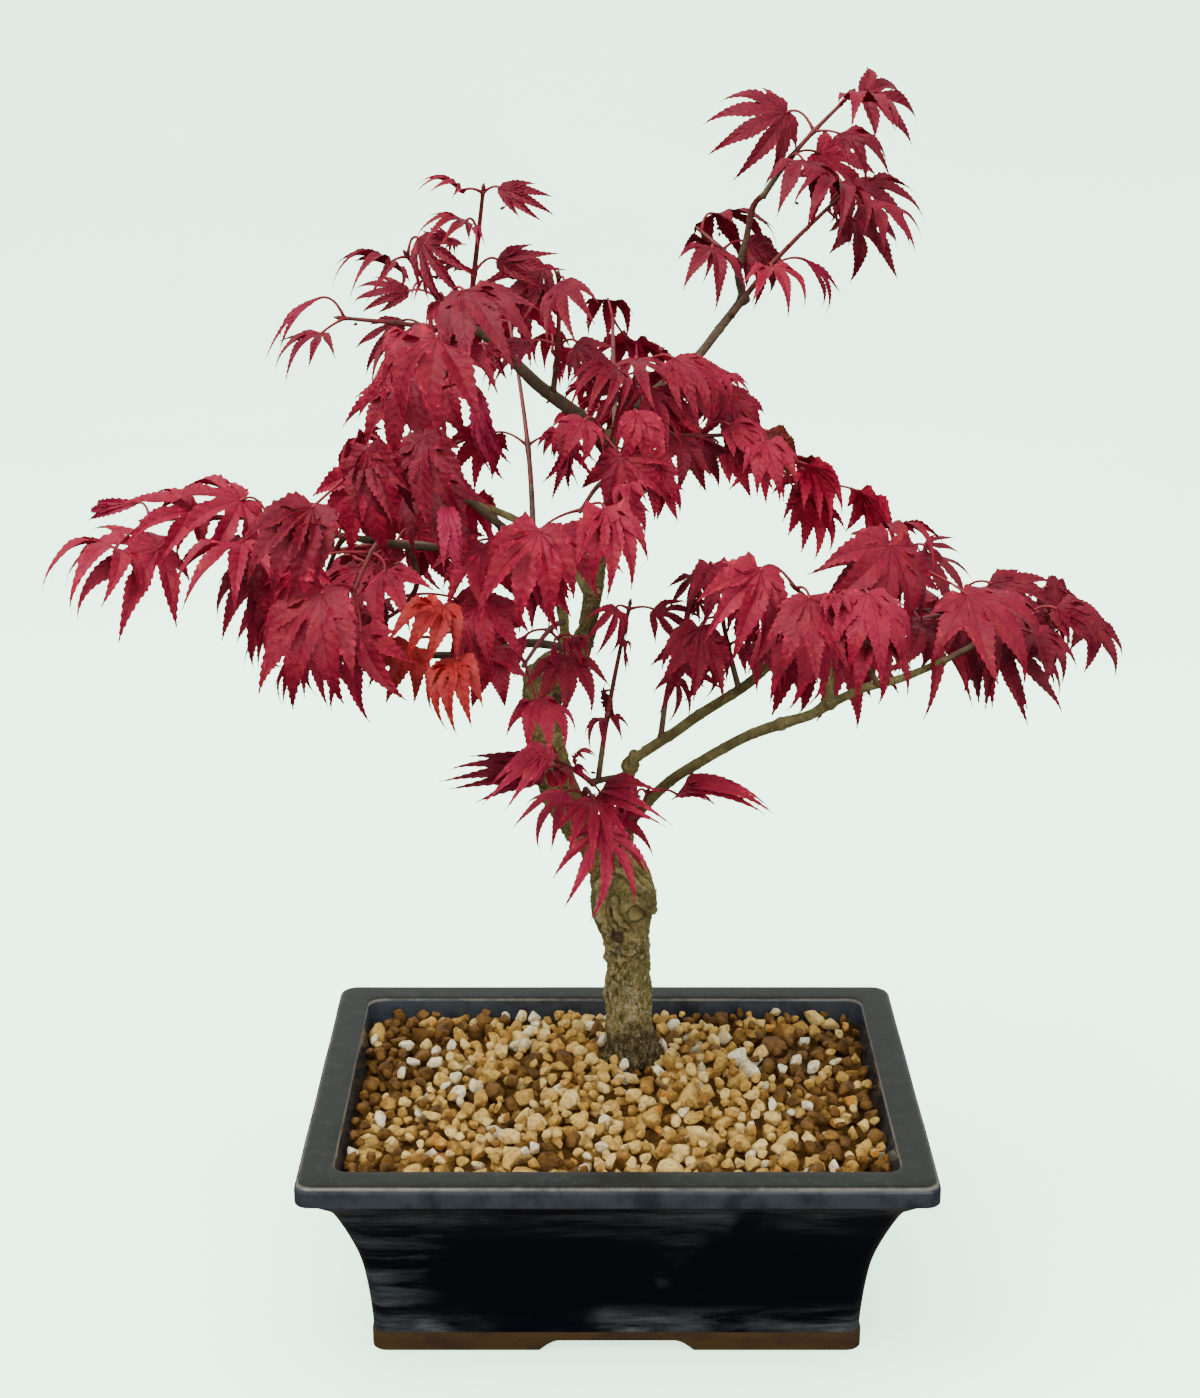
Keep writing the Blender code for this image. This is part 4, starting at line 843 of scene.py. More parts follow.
def leaf_shape(kind, length, thickness):
    """A palmate leaf as two low pyramids on one outline. Its middle lobe points along x."""
    heart = LEAF_HEART * length
    verts = [Vector((heart, 0.0, thickness / 2)), Vector((heart, 0.0, -thickness / 2))]
    for angle, radius in leaf_outline(kind, length):
        turn = math.radians(angle)
        droop = LEAF_DROOP * radius * radius / length
        verts.append(Vector((radius * math.cos(turn), radius * math.sin(turn), -droop)))
    count = len(verts) - 2
    faces = []
    for i in range(count):
        a = 2 + i
        b = 2 + (i + 1) % count
        faces.append((0, a, b))
        faces.append((1, b, a))
    return verts, faces


def twig_shape(points, radii, foot=None):
    """A three-sided tapering twig with closed ends. The direction foot is square to its first end."""
    verts = ring_points(points, radii, 3, foot)
    faces = [(2, 1, 0)]
    for a, b, c, d in ring_faces(len(points), 3):
        faces.extend(((a, b, c), (a, c, d)))
    last = len(verts) - 3
    faces.append((last, last + 1, last + 2))
    return verts, faces


def arc(start, middle, end, count):
    """Points on the parabola from start to end that heads for middle."""
    points = []
    for i in range(count + 1):
        t = i / count
        points.append(start * (1 - t) ** 2 + middle * (2 * t * (1 - t)) + end * t * t)
    return points


Leaf = namedtuple("Leaf", "petiole matrix kind length")
Twig = namedtuple("Twig", "points radii foot")


def round_ball(verts):
    """Middle and radius of a ball round some points."""
    middle = sum(verts, Vector()) / len(verts)
    return middle, max((v - middle).length for v in verts)


class Space:
    """What stands in the crown so far, so that nothing new runs into it."""

    def __init__(self):
        self.limbs = {}
        self.grown = []  # (spray's name, middle, radius, tree)

    def add_limb(self, name, mesh):
        """Takes a limb's mesh in metres. The trees are in the tables' own millimetres."""
        verts = [v.co / MM - POT_CENTRE for v in mesh.vertices]
        self.limbs[name] = BVHTree.FromPolygons(verts, [tuple(p.vertices) for p in mesh.polygons])

    def add(self, owner, verts, faces):
        self.grown.append((owner, *round_ball(verts), BVHTree.FromPolygons(verts, faces)))

    def meets(self, owner, verts, faces, bearer=None):
        """2 if this meets another spray or a limb that isn't its bearer, 1 if only its own spray."""
        tree = BVHTree.FromPolygons(verts, faces)
        if any(limb.overlap(tree) for name, limb in self.limbs.items() if name != bearer):
            return 2
        middle, radius = round_ball(verts)
        own = 0
        for name, centre, size, other in self.grown:
            if (centre - middle).length < radius + size and other.overlap(tree):
                if name != owner:
                    return 2
                own = 1
        return own

    def meets_twig(self, owner, points, radii, bearer=None):
        """What a twig meets with its first part, which may touch its bearer, and with the rest."""
        foot = self.meets(owner, *twig_shape(points[:2], radii[:2]), bearer=bearer)
        return foot, self.meets(owner, *twig_shape(points[1:], radii[1:]))


def limb_point(route, along):
    """Place, direction and radius at a share of a limb's length."""
    place = along * (len(route) - 1)
    i = min(int(place), len(route) - 2)
    a, b = Vector(route[i]), Vector(route[i + 1])
    here = a.lerp(b, place - i)
    return here.xyz, (b.xyz - a.xyz).normalized(), here.w


def dice(spray, *keys):
    """Random numbers that belong to one thing on a spray."""
    return random.Random("-".join(map(str, (spray.name, spray.seed, *keys))))


def leaf_pose(rng, node, way, side, length):
    """A leaf on its stalk: it arches out from the node to one side, and the blade hangs."""
    out = Vector((node.x - CROWN_AXIS.x, node.y - CROWN_AXIS.y, 0.0)).normalized()
    light = out
    if node.y < FRONT_LIMIT:
        light = (out * OUTWARD_LIGHT + FRONT).normalized()
    heading = side * rng.uniform(*SIDEWAYS) + way * rng.uniform(*ONWARD) + UP * rng.uniform(*UPWARD)
    heading = (heading + light * rng.uniform(*LIGHTWARD)).normalized()
    stalk = PETIOLE * length * rng.uniform(*PETIOLE_SPREAD)
    bend = node + heading * stalk * PETIOLE_BEND
    level = Vector((heading.x, heading.y, 0.0)) * LEVEL_HEADING + light * LEVEL_LIGHT
    level = (level + level_spread(rng, LEVEL_SPREAD)).normalized()
    down = (level * BEND_LEVEL - UP * BEND_DOWN).normalized()
    joint = bend + down * stalk * (1 - PETIOLE_BEND)
    hang = math.radians(rng.uniform(*HANG))
    axis = (level * math.sin(hang) - UP * math.cos(hang)).normalized()
    normal = light * NORMAL_LIGHT + UP * NORMAL_UP + level_spread(rng, NORMAL_SPREAD)
    normal = (normal - axis * normal.dot(axis)).normalized()
    turned = Matrix((axis, normal.cross(axis), normal)).transposed().to_4x4()
    return arc(node, bend, joint, PETIOLE_PARTS), Matrix.Translation(joint) @ turned


def level_spread(rng, reach):
    return Vector((rng.uniform(-reach, reach), rng.uniform(-reach, reach), 0.0))


def leaf_kind(rng, length):
    if rng.random() < SHUT_SHARE:
        return "shut"
    return "open" if length > OPEN_LENGTH else "small"


def grow_leaf(space, spray, key, node, way, side):
    """Tries a few poses for a leaf, and returns the first that has room, or None."""
    for attempt in range(LEAF_TRIES):
        rng = dice(spray, key, attempt)
        length = spray.leaf * rng.uniform(*LEAF_SPREAD)
        kind = leaf_kind(rng, length)
        petiole, matrix = leaf_pose(rng, node, way, side, length)
        thickness = LEAF_THICKNESS * length + 2 * TEST_MARGIN
        verts, faces = leaf_shape(kind, length * TEST_GROWTH, thickness)
        blade = space.meets(spray.name, [matrix @ v for v in verts], faces)
        wide = [PETIOLE_RADIUS + TEST_MARGIN] * len(petiole)
        root, stalk = space.meets_twig(spray.name, petiole, wide)
        if root < 2 and not stalk and not blade:
            return Leaf(petiole, matrix, kind, length)
    return None


def clear_twig(space, spray, key, start, bend, end, radii):
    """Points of a twig with room all along, swayed aside until it has, or None."""
    span = (end - start).length
    wide = [radius + TEST_MARGIN for radius in radii]
    for attempt in range(TWIG_TRIES):
        rng = dice(spray, key, attempt)
        sway = Vector([rng.uniform(-1.0, 1.0) for _ in range(3)]) * span * SWAY * attempt
        points = arc(start, bend + sway, end, len(radii) - 1)
        if max(space.meets_twig(spray.name, points, wide, spray.limb)) < 2:
            return points
    return None


def along_arc(points, share):
    """Place and direction at a share of a list of points."""
    place = share * (len(points) - 1)
    i = min(int(place), len(points) - 2)
    return points[i].lerp(points[i + 1], place - i), (points[i + 1] - points[i]).normalized()


def grow_stem(space, spray, routes):
    """The spray's stem, from a clear start at its limb to the spray's tip."""
    place, way, radius = limb_point(routes[spray.limb], spray.along)
    tip = Vector(spray.tip)
    out = way
    if spray.along < 1.0:
        out = tip - place
        out = (out - way * out.dot(way)).normalized()
        place = place + out * radius
    start = place + out * GAP
    span = (tip - start).length
    middle = (start + tip) / 2 + UP * STEM_RISE * span
    lead = start + out * min(span * LEAD, LONGEST_LEAD)
    taper = (TWIG_TIP_RADIUS - TWIG_RADIUS) / STEM_PARTS
    radii = [TWIG_RADIUS + taper * i for i in range(STEM_PARTS + 1)]
    points = clear_twig(space, spray, "stem", start, lead.lerp(middle, 0.5), tip, radii)
    if not points:
        raise ValueError(f"{spray.name} has no clear way to its tip")
    return Twig(points, radii, out)


def grow_fork(space, spray, stem, i):
    """The spray's side twig number i, or None where there is no room."""
    share = FIRST_PAIR + (LAST_FORK - FIRST_PAIR) * (i + 0.5) / spray.forks
    node, way = along_arc(stem.points, share)
    span = (stem.points[-1] - stem.points[0]).length
    level = way.cross(UP).normalized() * (1 if i % 2 else -1)
    reach = (level + way * FORK_ONWARD + UP * FORK_UP).normalized() * span * FORK_LENGTH
    bend = node + reach / 2 + UP * span * FORK_RISE
    radii = [TWIG_TIP_RADIUS] * (FORK_PARTS + 1)
    points = clear_twig(space, spray, f"twig{i}", node, bend, node + reach, radii)
    return Twig(points, radii, None) if points else None


def grow_pair(space, spray, key, node, way, turn):
    """Two opposite leaves at a node, each pair a quarter turn on from the last."""
    across = way.cross(UP).normalized()
    over = across.cross(way).normalized()
    rng = dice(spray, key)
    angle = math.radians(90.0 * turn + rng.uniform(-TWIST, TWIST))
    side = across * math.cos(angle) + over * math.sin(angle)
    pair = []
    for sign in (-1, 1):
        leaf = grow_leaf(space, spray, f"{key}{sign}", node, way, side * sign)
        if leaf:
            pair.append(leaf)
            verts, faces = leaf_shape(leaf.kind, leaf.length, LEAF_THICKNESS * leaf.length)
            space.add(spray.name, [leaf.matrix @ v for v in verts], faces)
            space.add(spray.name, *twig_shape(leaf.petiole, [PETIOLE_RADIUS] * len(leaf.petiole)))
    return pair


def pair_shares(spray):
    """Where a spray's stem bears its leaf pairs, as shares of its length."""
    if spray.pairs == 1:
        return [LAST_PAIR]
    return [FIRST_PAIR + (LAST_PAIR - FIRST_PAIR) * i / (spray.pairs - 1) for i in range(spray.pairs)]


def grow_spray(space, spray, routes):
    """The twigs and leaves of one spray."""
    stem = grow_stem(space, spray, routes)
    twigs = [stem]
    space.add(spray.name, *twig_shape(stem.points, stem.radii))
    nodes = [(f"pair{i}", *along_arc(stem.points, share), i) for i, share in enumerate(pair_shares(spray))]
    for i in range(spray.forks):
        twig = grow_fork(space, spray, stem, i)
        if twig:
            twigs.append(twig)
            space.add(spray.name, *twig_shape(twig.points, twig.radii))
            nodes.append((f"fork{i}", *along_arc(twig.points, FORK_PAIR), i + 1))
    leaves = []
    for node in nodes:
        leaves.extend(grow_pair(space, spray, *node))
    return twigs, leaves


# ------------------------ pot


def plan(inset, z, corner=POT_CORNER):
    """Points round the pot's plan, this far in from the rim's outer edge."""
    half = Vector((POT_WIDTH / 2 - inset, POT_DEPTH / 2 - inset))
    corners = []
    for quarter, (sx, sy) in enumerate(((1, 1), (-1, 1), (-1, -1), (1, -1))):
        centre = Vector((sx * (half.x - corner), sy * (half.y - corner)))
        for step in range(CORNER_STEPS + 1):
            turn = math.radians(90 * (quarter + step / CORNER_STEPS))
            corners.append(centre + corner * Vector((math.cos(turn), math.sin(turn))))
    outline = []
    for i, point in enumerate(corners):
        following = corners[(i + 1) % len(corners)]
        steps = SIDE_STEPS if (i + 1) % (CORNER_STEPS + 1) == 0 else 1
        for step in range(steps):
            outline.append((*point.lerp(following, step / steps), z))
    return outline


def rounding(inset, depth, radius, start, steps):
    """Profile points on a quarter arc about (inset, depth), from the angle start."""
    for step in range(steps + 1):
        turn = math.radians(start + 90 * step / steps)
        yield inset + radius * math.cos(turn), depth - radius * math.sin(turn)


def finer(profile, longest):
    """The profile with its long stretches cut into shorter ones."""
    profile = list(profile)
    for (a, b), (c, d) in zip(profile, profile[1:]):
        steps = max(1, math.ceil(math.hypot(c - a, d - b) / longest))
        for step in range(steps):
            yield a + (c - a) * step / steps, b + (d - b) * step / steps
    yield profile[-1]


def pot_profile():
    """(inset, depth) from the inner floor up over the rim and down to the foot."""
    yield from reversed(POT_INSIDE)
    yield from rounding(RIM_WIDTH - RIM_INNER_ROUNDING, RIM_INNER_ROUNDING, RIM_INNER_ROUNDING, 0, 4)
    yield from rounding(LIP_ROUNDING, LIP_ROUNDING, LIP_ROUNDING, 90, 6)
    yield from smooth_route(POT_OUTSIDE[:10], 4)
    yield from POT_OUTSIDE[10:]


def closed_loft(rings):
    """A closed bmesh through rings of as many points each, capped at both ends."""
    bm = bmesh.new()
    verts = [[bm.verts.new(point) for point in ring] for ring in rings]
    count = len(rings[0])
    for lower, upper in zip(verts, verts[1:]):
        for i in range(count):
            j = (i + 1) % count
            bm.faces.new((lower[i], lower[j], upper[j], upper[i]))
    bm.faces.new(verts[0][::-1])
    bm.faces.new(verts[-1])
    return bm


def arch_cutter(name, width, axis):
    """A low arch with sloping shoulders, drawn right across the pot's foot along an axis."""
    outline = [(-width / 2, -FOOT_LIFT), (-width / 2, 0.0)]
    outline += [(-width / 2 + ARCH_SLOPE * share, FOOT_LIFT * math.sin(share * math.pi / 2))
                for share in (0.2, 0.4, 0.6, 0.8, 1.0)]
    outline += [(-across, up) for across, up in reversed(outline)]
    rings = []
    for end in (-POT_WIDTH, POT_WIDTH):
        rings.append([at((end, a, z) if axis == "x" else (a, end, z)) for a, z in outline])
    return held(name, finished_mesh(name, closed_loft(rings)))


def drain_cutter(name, side):
    """A drill for one drain hole."""
    bm = bmesh.new()
    place = Matrix.Translation(at((side * DRAIN_OFFSET, 0.0, 0.0)))
    bmesh.ops.create_cone(
        bm, cap_ends=True, segments=DRAIN_SIDES, radius1=DRAIN_RADIUS * MM, radius2=DRAIN_RADIUS * MM,
        depth=POT_HEIGHT * MM, matrix=place,
    )
    return held(name, finished_mesh(name, bm))


def pot_mesh(settings):
    """The pot with uneven walls, arches across its foot and two drain holes."""
    rings = []
    for inset, depth in finer(pot_profile(), PROFILE_STEP):
        ring = []
        for x, y, z in plan(inset, POT_HEIGHT - depth):
            wave = abs(noise.noise(Vector((x, y, z)) * MM / settings.wave_size)) * settings.waviness / MM
            pull = 1 if z < FOOT_BAND else 1 - (wave + LEAST_PULL) / POT_DEPTH
            ring.append(at((x * pull, y * pull, z)))
        rings.append(ring)
    pot = held("pot_body", finished_mesh("pot_body", closed_loft(rings)))
    cutters = [
        arch_cutter("arch_front", FOOT_ARCH.x, "y"),
        arch_cutter("arch_side", FOOT_ARCH.y, "x"),
        drain_cutter("drain_left", -1),
        drain_cutter("drain_right", 1),
    ]
    for cutter in cutters:
        pot.modifiers.new(cutter.name, "BOOLEAN").object = cutter
    mesh = applied(pot)
    for cutter in cutters:
        bpy.data.objects.remove(cutter)
    return mesh


def glaze_finish(settings):
    """Thick dark glaze with thin bands where it was laid on with a brush, a navy lip, a slate rim and
    edges where the clay wears through. The bands on the upper wall and the left end are partly thin glaze
    and partly a painted reflection, and the pale line along the rim's top edges is partly wear and partly
    a painted highlight.
    """
    finish = Finish("glaze")
    height = finish.axis("Z")
    streaks = finish.noise(0.012, 6.0, 0.7, 0.4, (0.22, 0.22, 1.6))
    clouds = finish.noise(0.034, 3.0, 0.5, 0.6, (0.8, 0.8, 1.0))
    # Lighter bands on the upper wall and the left end: partly thin glaze, partly a painted reflection. The
    # band near the foot is thin glaze only.
    upper = finish.ramp(height, 0.044, 0.06)
    left = finish.ramp(finish.axis("X"), -0.052, -0.088)
    lower = finish.ramp(height, 0.019, 0.009)
    thin = finish.both(finish.both(upper, left, "MAXIMUM"), lower, "MAXIMUM")
    thin = finish.both(thin, finish.ramp(clouds, 0.34, 0.6))
    thin = finish.both(thin, finish.ramp(clouds, 0.58, 0.74, 0.0, 0.55), "MAXIMUM")
    thin_glaze_and_reflection = finish.both(thin, finish.ramp(streaks, 0.4, 0.68))
    wall = finish.mix(thin_glaze_and_reflection, settings.deep, settings.thin_glaze_and_reflection)
    mottled = finish.ramp(finish.noise(0.012, 4.0, 0.6), 0.3, 0.6, 0.4, 1.0)
    lip = finish.mix(mottled, settings.deep, settings.navy)
    wall = finish.mix(finish.ramp(height, 0.0605, 0.0615), wall, lip)
    dusted = finish.ramp(finish.noise(0.004, 6.0, 0.8), 0.5, 0.72, 0.0, 0.5)
    dull = tuple(c * 0.55 for c in settings.slate)
    rim = finish.layers(dull, (mottled, settings.slate), (dusted, settings.navy))
    # A pale line along the rim's top edges: partly clay showing through, partly a painted highlight.
    edge = finish.both(finish.ramp(height, 0.0697, 0.0702), finish.ramp(height, 0.0708, 0.0704))
    worn_edge_and_highlight = finish.both(edge, finish.ramp(finish.noise(0.016, 6.0, 0.75), 0.35, 0.6, 0.15, 0.75))
    specks = finish.ramp(finish.cells(0.0022), 0.16, 0.06, 0.0, 0.35)
    colour = finish.layers(
        wall,
        (finish.ramp(height, 0.07, 0.0709), rim),
        (worn_edge_and_highlight, settings.worn_and_highlight),
        (finish.both(specks, thin_glaze_and_reflection), settings.worn_and_highlight),
    )
    normal = finish.bump(finish.noise(0.01, 3.0, 0.5), 0.00025)
    normal = finish.bump(streaks, 0.00006, normal)
    rough = finish.ramp(thin_glaze_and_reflection, 0.0, 1.0, 0.1, 0.34)
    rough = finish.both(rough, finish.ramp(height, 0.0695, 0.0708, 0.0, 0.42), "MAXIMUM")
    return finish.shade(colour, rough, 0.22, normal, Coat_Weight=0.05, Coat_Roughness=0.06)


def clay_finish(settings):
    """Unglazed clay of the foot, scorched in places."""
    finish = Finish("foot_clay")
    patches = finish.ramp(finish.noise(0.022, 5.0, 0.65, 0.0, (1.0, 1.0, 2.5)), 0.4, 0.64)
    colour = finish.mix(patches, settings.clay, settings.scorched)
    grit = finish.noise(0.0012, 4.0, 0.7)
    normal = finish.bump(grit, 0.0003)
    return finish.shade(colour, 0.86, 0.3, normal)


class MAPLE_OT_pot(bpy.types.Operator):
    """Makes the glazed pot in place of its CAD solid"""

    bl_idname = "maple.pot"
    bl_label = "Glazed pot"

    def execute(self, context):
        settings = context.scene.maple_pot
        mesh = pot_mesh(settings)
        mesh.materials.clear()
        pot = show("glazed_pot", mesh, "glaze", ("pot",), (glaze_finish(settings), clay_finish(settings)))
        for face in mesh.polygons:
            face.material_index = 1 if is_bare(face.center) else 0
        pot.data.set_sharp_from_angle(angle=SHARP_EDGE)
        return {"FINISHED"}


def is_bare(place):
    """Whether a place of the pot is unglazed: its foot, its underside and its inside below the rim."""
    x, y, z = place / MM - POT_CENTRE
    depth = POT_HEIGHT - z
    outer = np.interp(depth, *zip(*[(low, inset) for inset, low in POT_OUTSIDE]))
    inner = np.interp(depth, *zip(*[(low, inset) for inset, low in POT_INSIDE]))
    inset = min(POT_WIDTH / 2 - abs(x), POT_DEPTH / 2 - abs(y))
    return z < FOOT_BAND or (inset > (outer + inner) / 2 and depth > INNER_GLAZE)


# ------------------------ soil


def ground(x, y):
    """Height of the soil's surface as the frame has it."""
    edge_z = POT_HEIGHT - SOIL_EDGE_DEPTH
    off = Vector((x, y)) - TRUNK_FOOT
    reach_x = (BED_HALF.x - math.copysign(TRUNK_FOOT.x, off.x)) or 1.0
    reach_y = (BED_HALF.y - math.copysign(TRUNK_FOOT.y, off.y)) or 1.0
    out = max(abs(off.x) / reach_x, abs(off.y) / reach_y)
    return edge_z + SOIL_RISE * math.sin((1 - min(max(out, 0.0), 1.0)) * math.pi / 2)


def soil_mesh(settings):
    """Fine earth from the pot's floor to just below the grains, uneven on top."""
    sunk = settings.sunk / MM
    rings = []
    for inset, depth in finer(reversed(POT_INSIDE), 6.0):
        z = min(POT_HEIGHT - depth + GAP, POT_HEIGHT - SOIL_EDGE_DEPTH - sunk)
        rings.append([at(point) for point in plan(inset + GAP, z)])
    outline = plan(POT_INSIDE[0][0] + 1.0, 0.0)
    for step in range(SOIL_STEPS):
        share = (step / SOIL_STEPS) ** 0.8
        ring = []
        for x, y, _ in outline:
            place = Vector((x, y)).lerp(TRUNK_FOOT, share)
            dip = noise.noise(Vector((*place, 0.0)) / EARTH_WAVE) * EARTH_DEPTH
            ring.append(at((*place, ground(*place) - sunk + dip)))
        rings.append(ring)
    return finished_mesh("earth", closed_loft(rings))


def grain_sizes(rng, settings):
    """A grain's half width in millimetres: many are small and a few are large."""
    small, large = settings.smallest / MM, settings.largest / MM
    return (small + (large - small) * rng.random() ** GRAIN_SORTING) / 2


def settle_grains(settings):
    """Drops grains one by one on the earth: (place, half width) of each that comes to rest."""
    rng = random.Random("grains")
    places = np.zeros((settings.tries, 4))
    count = 0
    sunk = settings.sunk / MM
    for _ in range(settings.tries):
        size = grain_sizes(rng, settings)
        x = rng.uniform(-1, 1) * (BED_HALF.x - size)
        y = rng.uniform(-1, 1) * (BED_HALF.y - size)
        if math.hypot(x - TRUNK_FOOT.x, y - TRUNK_FOOT.y) < TRUNK_CLEAR + size * 0.6:
            continue
        floor = ground(x, y) - sunk + size * 0.3
        held_up = floor
        if count:
            near = places[:count]
            apart = np.hypot(near[:, 0] - x, near[:, 1] - y)
            touch = (near[:, 3] + size) * GRAIN_PACKING
            under = apart < touch
            if under.any():
                rise = near[under, 2] + np.sqrt(touch[under] ** 2 - apart[under] ** 2) * GRAIN_SETTLE
                held_up = max(held_up, rise.max())
        if held_up + size * 0.8 > ground(x, y) + GRAIN_HEAP:
            continue
        places[count] = (x, y, held_up, size)
        count += 1
    return places[:count]


def grain_kind(rng, x, y, size):
    """The colour of a grain. Along the edges and in two corners they are damp."""
    damp = smooth_step(52.0, 66.0, abs(x)) + smooth_step(44.0, 60.0, -y) * 0.6
    damp += smooth_step(-20.0, -70.0, x - y * 0.4) * 0.35
    damp += smooth_step(12.0, 40.0, x) * smooth_step(14.0, 40.0, y) * 0.6
    patch = noise.noise(Vector((x, y, 7.0)) / 26.0)
    draw = rng.random()
    if draw < CREAM_SHARE and size < LARGEST_CREAM:
        return "cream"
    if draw < OCHRE_SHARE:
        return "ochre"
    if rng.random() < (damp + patch) * DAMP_SHARE:
        return "damp"
    return rng.choice(GRAIN_MIX)


def grain_shape(rng, ball, size, longer):
    """A lump with a few flat sides, longer one way, turned at random."""
    points = ball.copy()
    for _ in range(4):
        along = ball @ np.array(random_way(rng)) * GRAIN_LUMPS[1]
        waves = np.sin(along * rng.uniform(0.7, 2.0) + rng.uniform(0, 6))
        points *= 1 + GRAIN_LUMPS[0] * waves[:, None]
    for _ in range(GRAIN_FLATS):
        way = np.array(random_way(rng))
        beyond = points @ way - rng.uniform(*GRAIN_CUTS)
        points -= np.outer(np.maximum(beyond, 0.0), way)
    stretch = np.array([rng.uniform(*GRAIN_STRETCH) for _ in range(3)]) * (longer, 1.0, 1.0)
    turned = Matrix.Rotation(rng.uniform(0, math.tau), 3, Vector(random_way(rng)))
    return (points * stretch) @ np.array(turned) * size


def random_way(rng):
    """A direction, each as likely as any other."""
    z = rng.uniform(-1, 1)
    turn = rng.uniform(0, math.tau)
    level = math.sqrt(1 - z * z)
    return (level * math.cos(turn), level * math.sin(turn), z)


def ball_shape(subdivisions):
    """Points and faces of a ball a unit in radius."""
    bm = bmesh.new()
    bmesh.ops.create_icosphere(bm, subdivisions=subdivisions, radius=1.0)
    points = np.array([vert.co for vert in bm.verts])
    faces = [tuple(vert.index for vert in face.verts) for face in bm.faces]
    bm.free()
    return points, faces


def grain_finish(name, colour, mark, rough, settings):
    """A grain's stone: uneven colour, pores, and a little of another colour in patches."""
    finish = Finish(name)
    patches = finish.ramp(finish.noise(0.004, 3.0, 0.6), 0.42, 0.66)
    base = finish.mix(patches, colour, mark)
    pores = finish.ramp(finish.cells(0.0013), 0.03, 0.16, 0.5, 1.0)
    dusty = finish.ramp(finish.noise(0.0013, 5.0, 0.75), 0.34, 0.52, 0.4, 1.0)
    base = finish.mix(finish.both(pores, dusty), settings.earth, base)
    normal = finish.bump(finish.noise(0.0013, 5.0, 0.75), 0.001)
    return finish.shade(base, rough, 0.25, normal)


def earth_finish(settings):
    finish = Finish("damp_earth")
    patches = finish.ramp(finish.noise(0.003, 6.0, 0.75), 0.35, 0.7)
    colour = finish.mix(patches, settings.earth, settings.damp)
    normal = finish.bump(finish.noise(0.0016, 6.0, 0.8), 0.0012)
    return finish.shade(colour, 0.95, 0.2, normal)


class MAPLE_OT_soil(bpy.types.Operator):
    """Makes the damp earth that fills the pot below its grains"""

    bl_idname = "maple.soil"
    bl_label = "Earth"

    def execute(self, context):
        settings = context.scene.maple_soil
        mesh = soil_mesh(settings)
        mesh.shade_smooth()
        show("earth", mesh, "soil", ("soil",), (earth_finish(settings),))
        return {"FINISHED"}


class MAPLE_OT_grit(bpy.types.Operator):
    """Strews baked clay and pumice grains over the earth"""

    bl_idname = "maple.grit"
    bl_label = "Grit"

    def execute(self, context):
        settings = context.scene.maple_soil
        rng = random.Random("grit")
        fine, coarse = ball_shape(3), ball_shape(2)
        batches = {}
        for x, y, z, size in settle_grains(settings):
            ball, faces = fine if z + size > ground(x, y) - DEEP_GRAIN else coarse
            kind = grain_kind(rng, x, y, size)
            longer = CREAM_STRETCH if kind == "cream" else 1.0
            shape = grain_shape(rng, ball, size, longer) + np.array((x, y, z))
            batches.setdefault(kind, Batch()).add(shape, faces)
        for kind, batch in sorted(batches.items()):
            colour = getattr(settings, kind)
            mark = getattr(settings, GRAIN_MARKS[kind])
            rough = DAMP_ROUGHNESS if kind == "damp" else DRY_ROUGHNESS
            finish = grain_finish(f"{kind}_grain", colour, mark, rough, settings)
            show(f"{kind}_grains", batch.mesh(f"{kind}_grains"), "soil", (), (finish,))
        return {"FINISHED"}


# ------------------------ bark


def limb_line(limb):
    """The limb's (x, y, z, radius) rows, close together."""
    return smooth_route(limb.route, LIMB_STEPS)


def swell_foot(points):
    """Spreads the trunk's foot into low roots that run out over the grains."""
    for point in points:
        height = point.z - TRUNK_BASE
        if height < BUTTRESS_HEIGHT:
            away = point.xy - TRUNK_FOOT
            turn = math.atan2(away.y, away.x)
            swell = BUTTRESS_MEAN
            for size, count, start in BUTTRESSES:
                swell += size * math.cos(count * turn + start)
            away *= BUTTRESS_SHARE * (1 - max(height, 0.0) / BUTTRESS_HEIGHT) ** 2 * swell
            point.x += away.x
            point.y += away.y


def bare_wood(settings):
    """Trunk and boughs as one smooth skin, with no bark yet."""
    wood = Batch()
    for limb in LIMBS:
        line = limb_line(limb)
        if limb.name == "trunk":
            line = [(*line[0][:2], TRUNK_BASE - ROOT_DEPTH, line[0][3]), *line]
        points, faces = tube([row[:3] for row in line], [row[3] for row in line], LIMB_SIDES)
        if limb.name == "trunk":
            swell_foot(points)
        wood.add(points, faces)
    for place, size in KNOTS:
        ball, faces = ball_shape(3)
        wood.add(ball * size + np.array(place), faces)
    obj = held("wood", wood.mesh("wood"))
    remesh = obj.modifiers.new("skin", "REMESH")
    remesh.mode = "VOXEL"
    remesh.voxel_size = settings.fineness
    smooth = obj.modifiers.new("smooth", "SMOOTH")
    smooth.factor = 0.5
    smooth.iterations = 5
    return applied(obj)


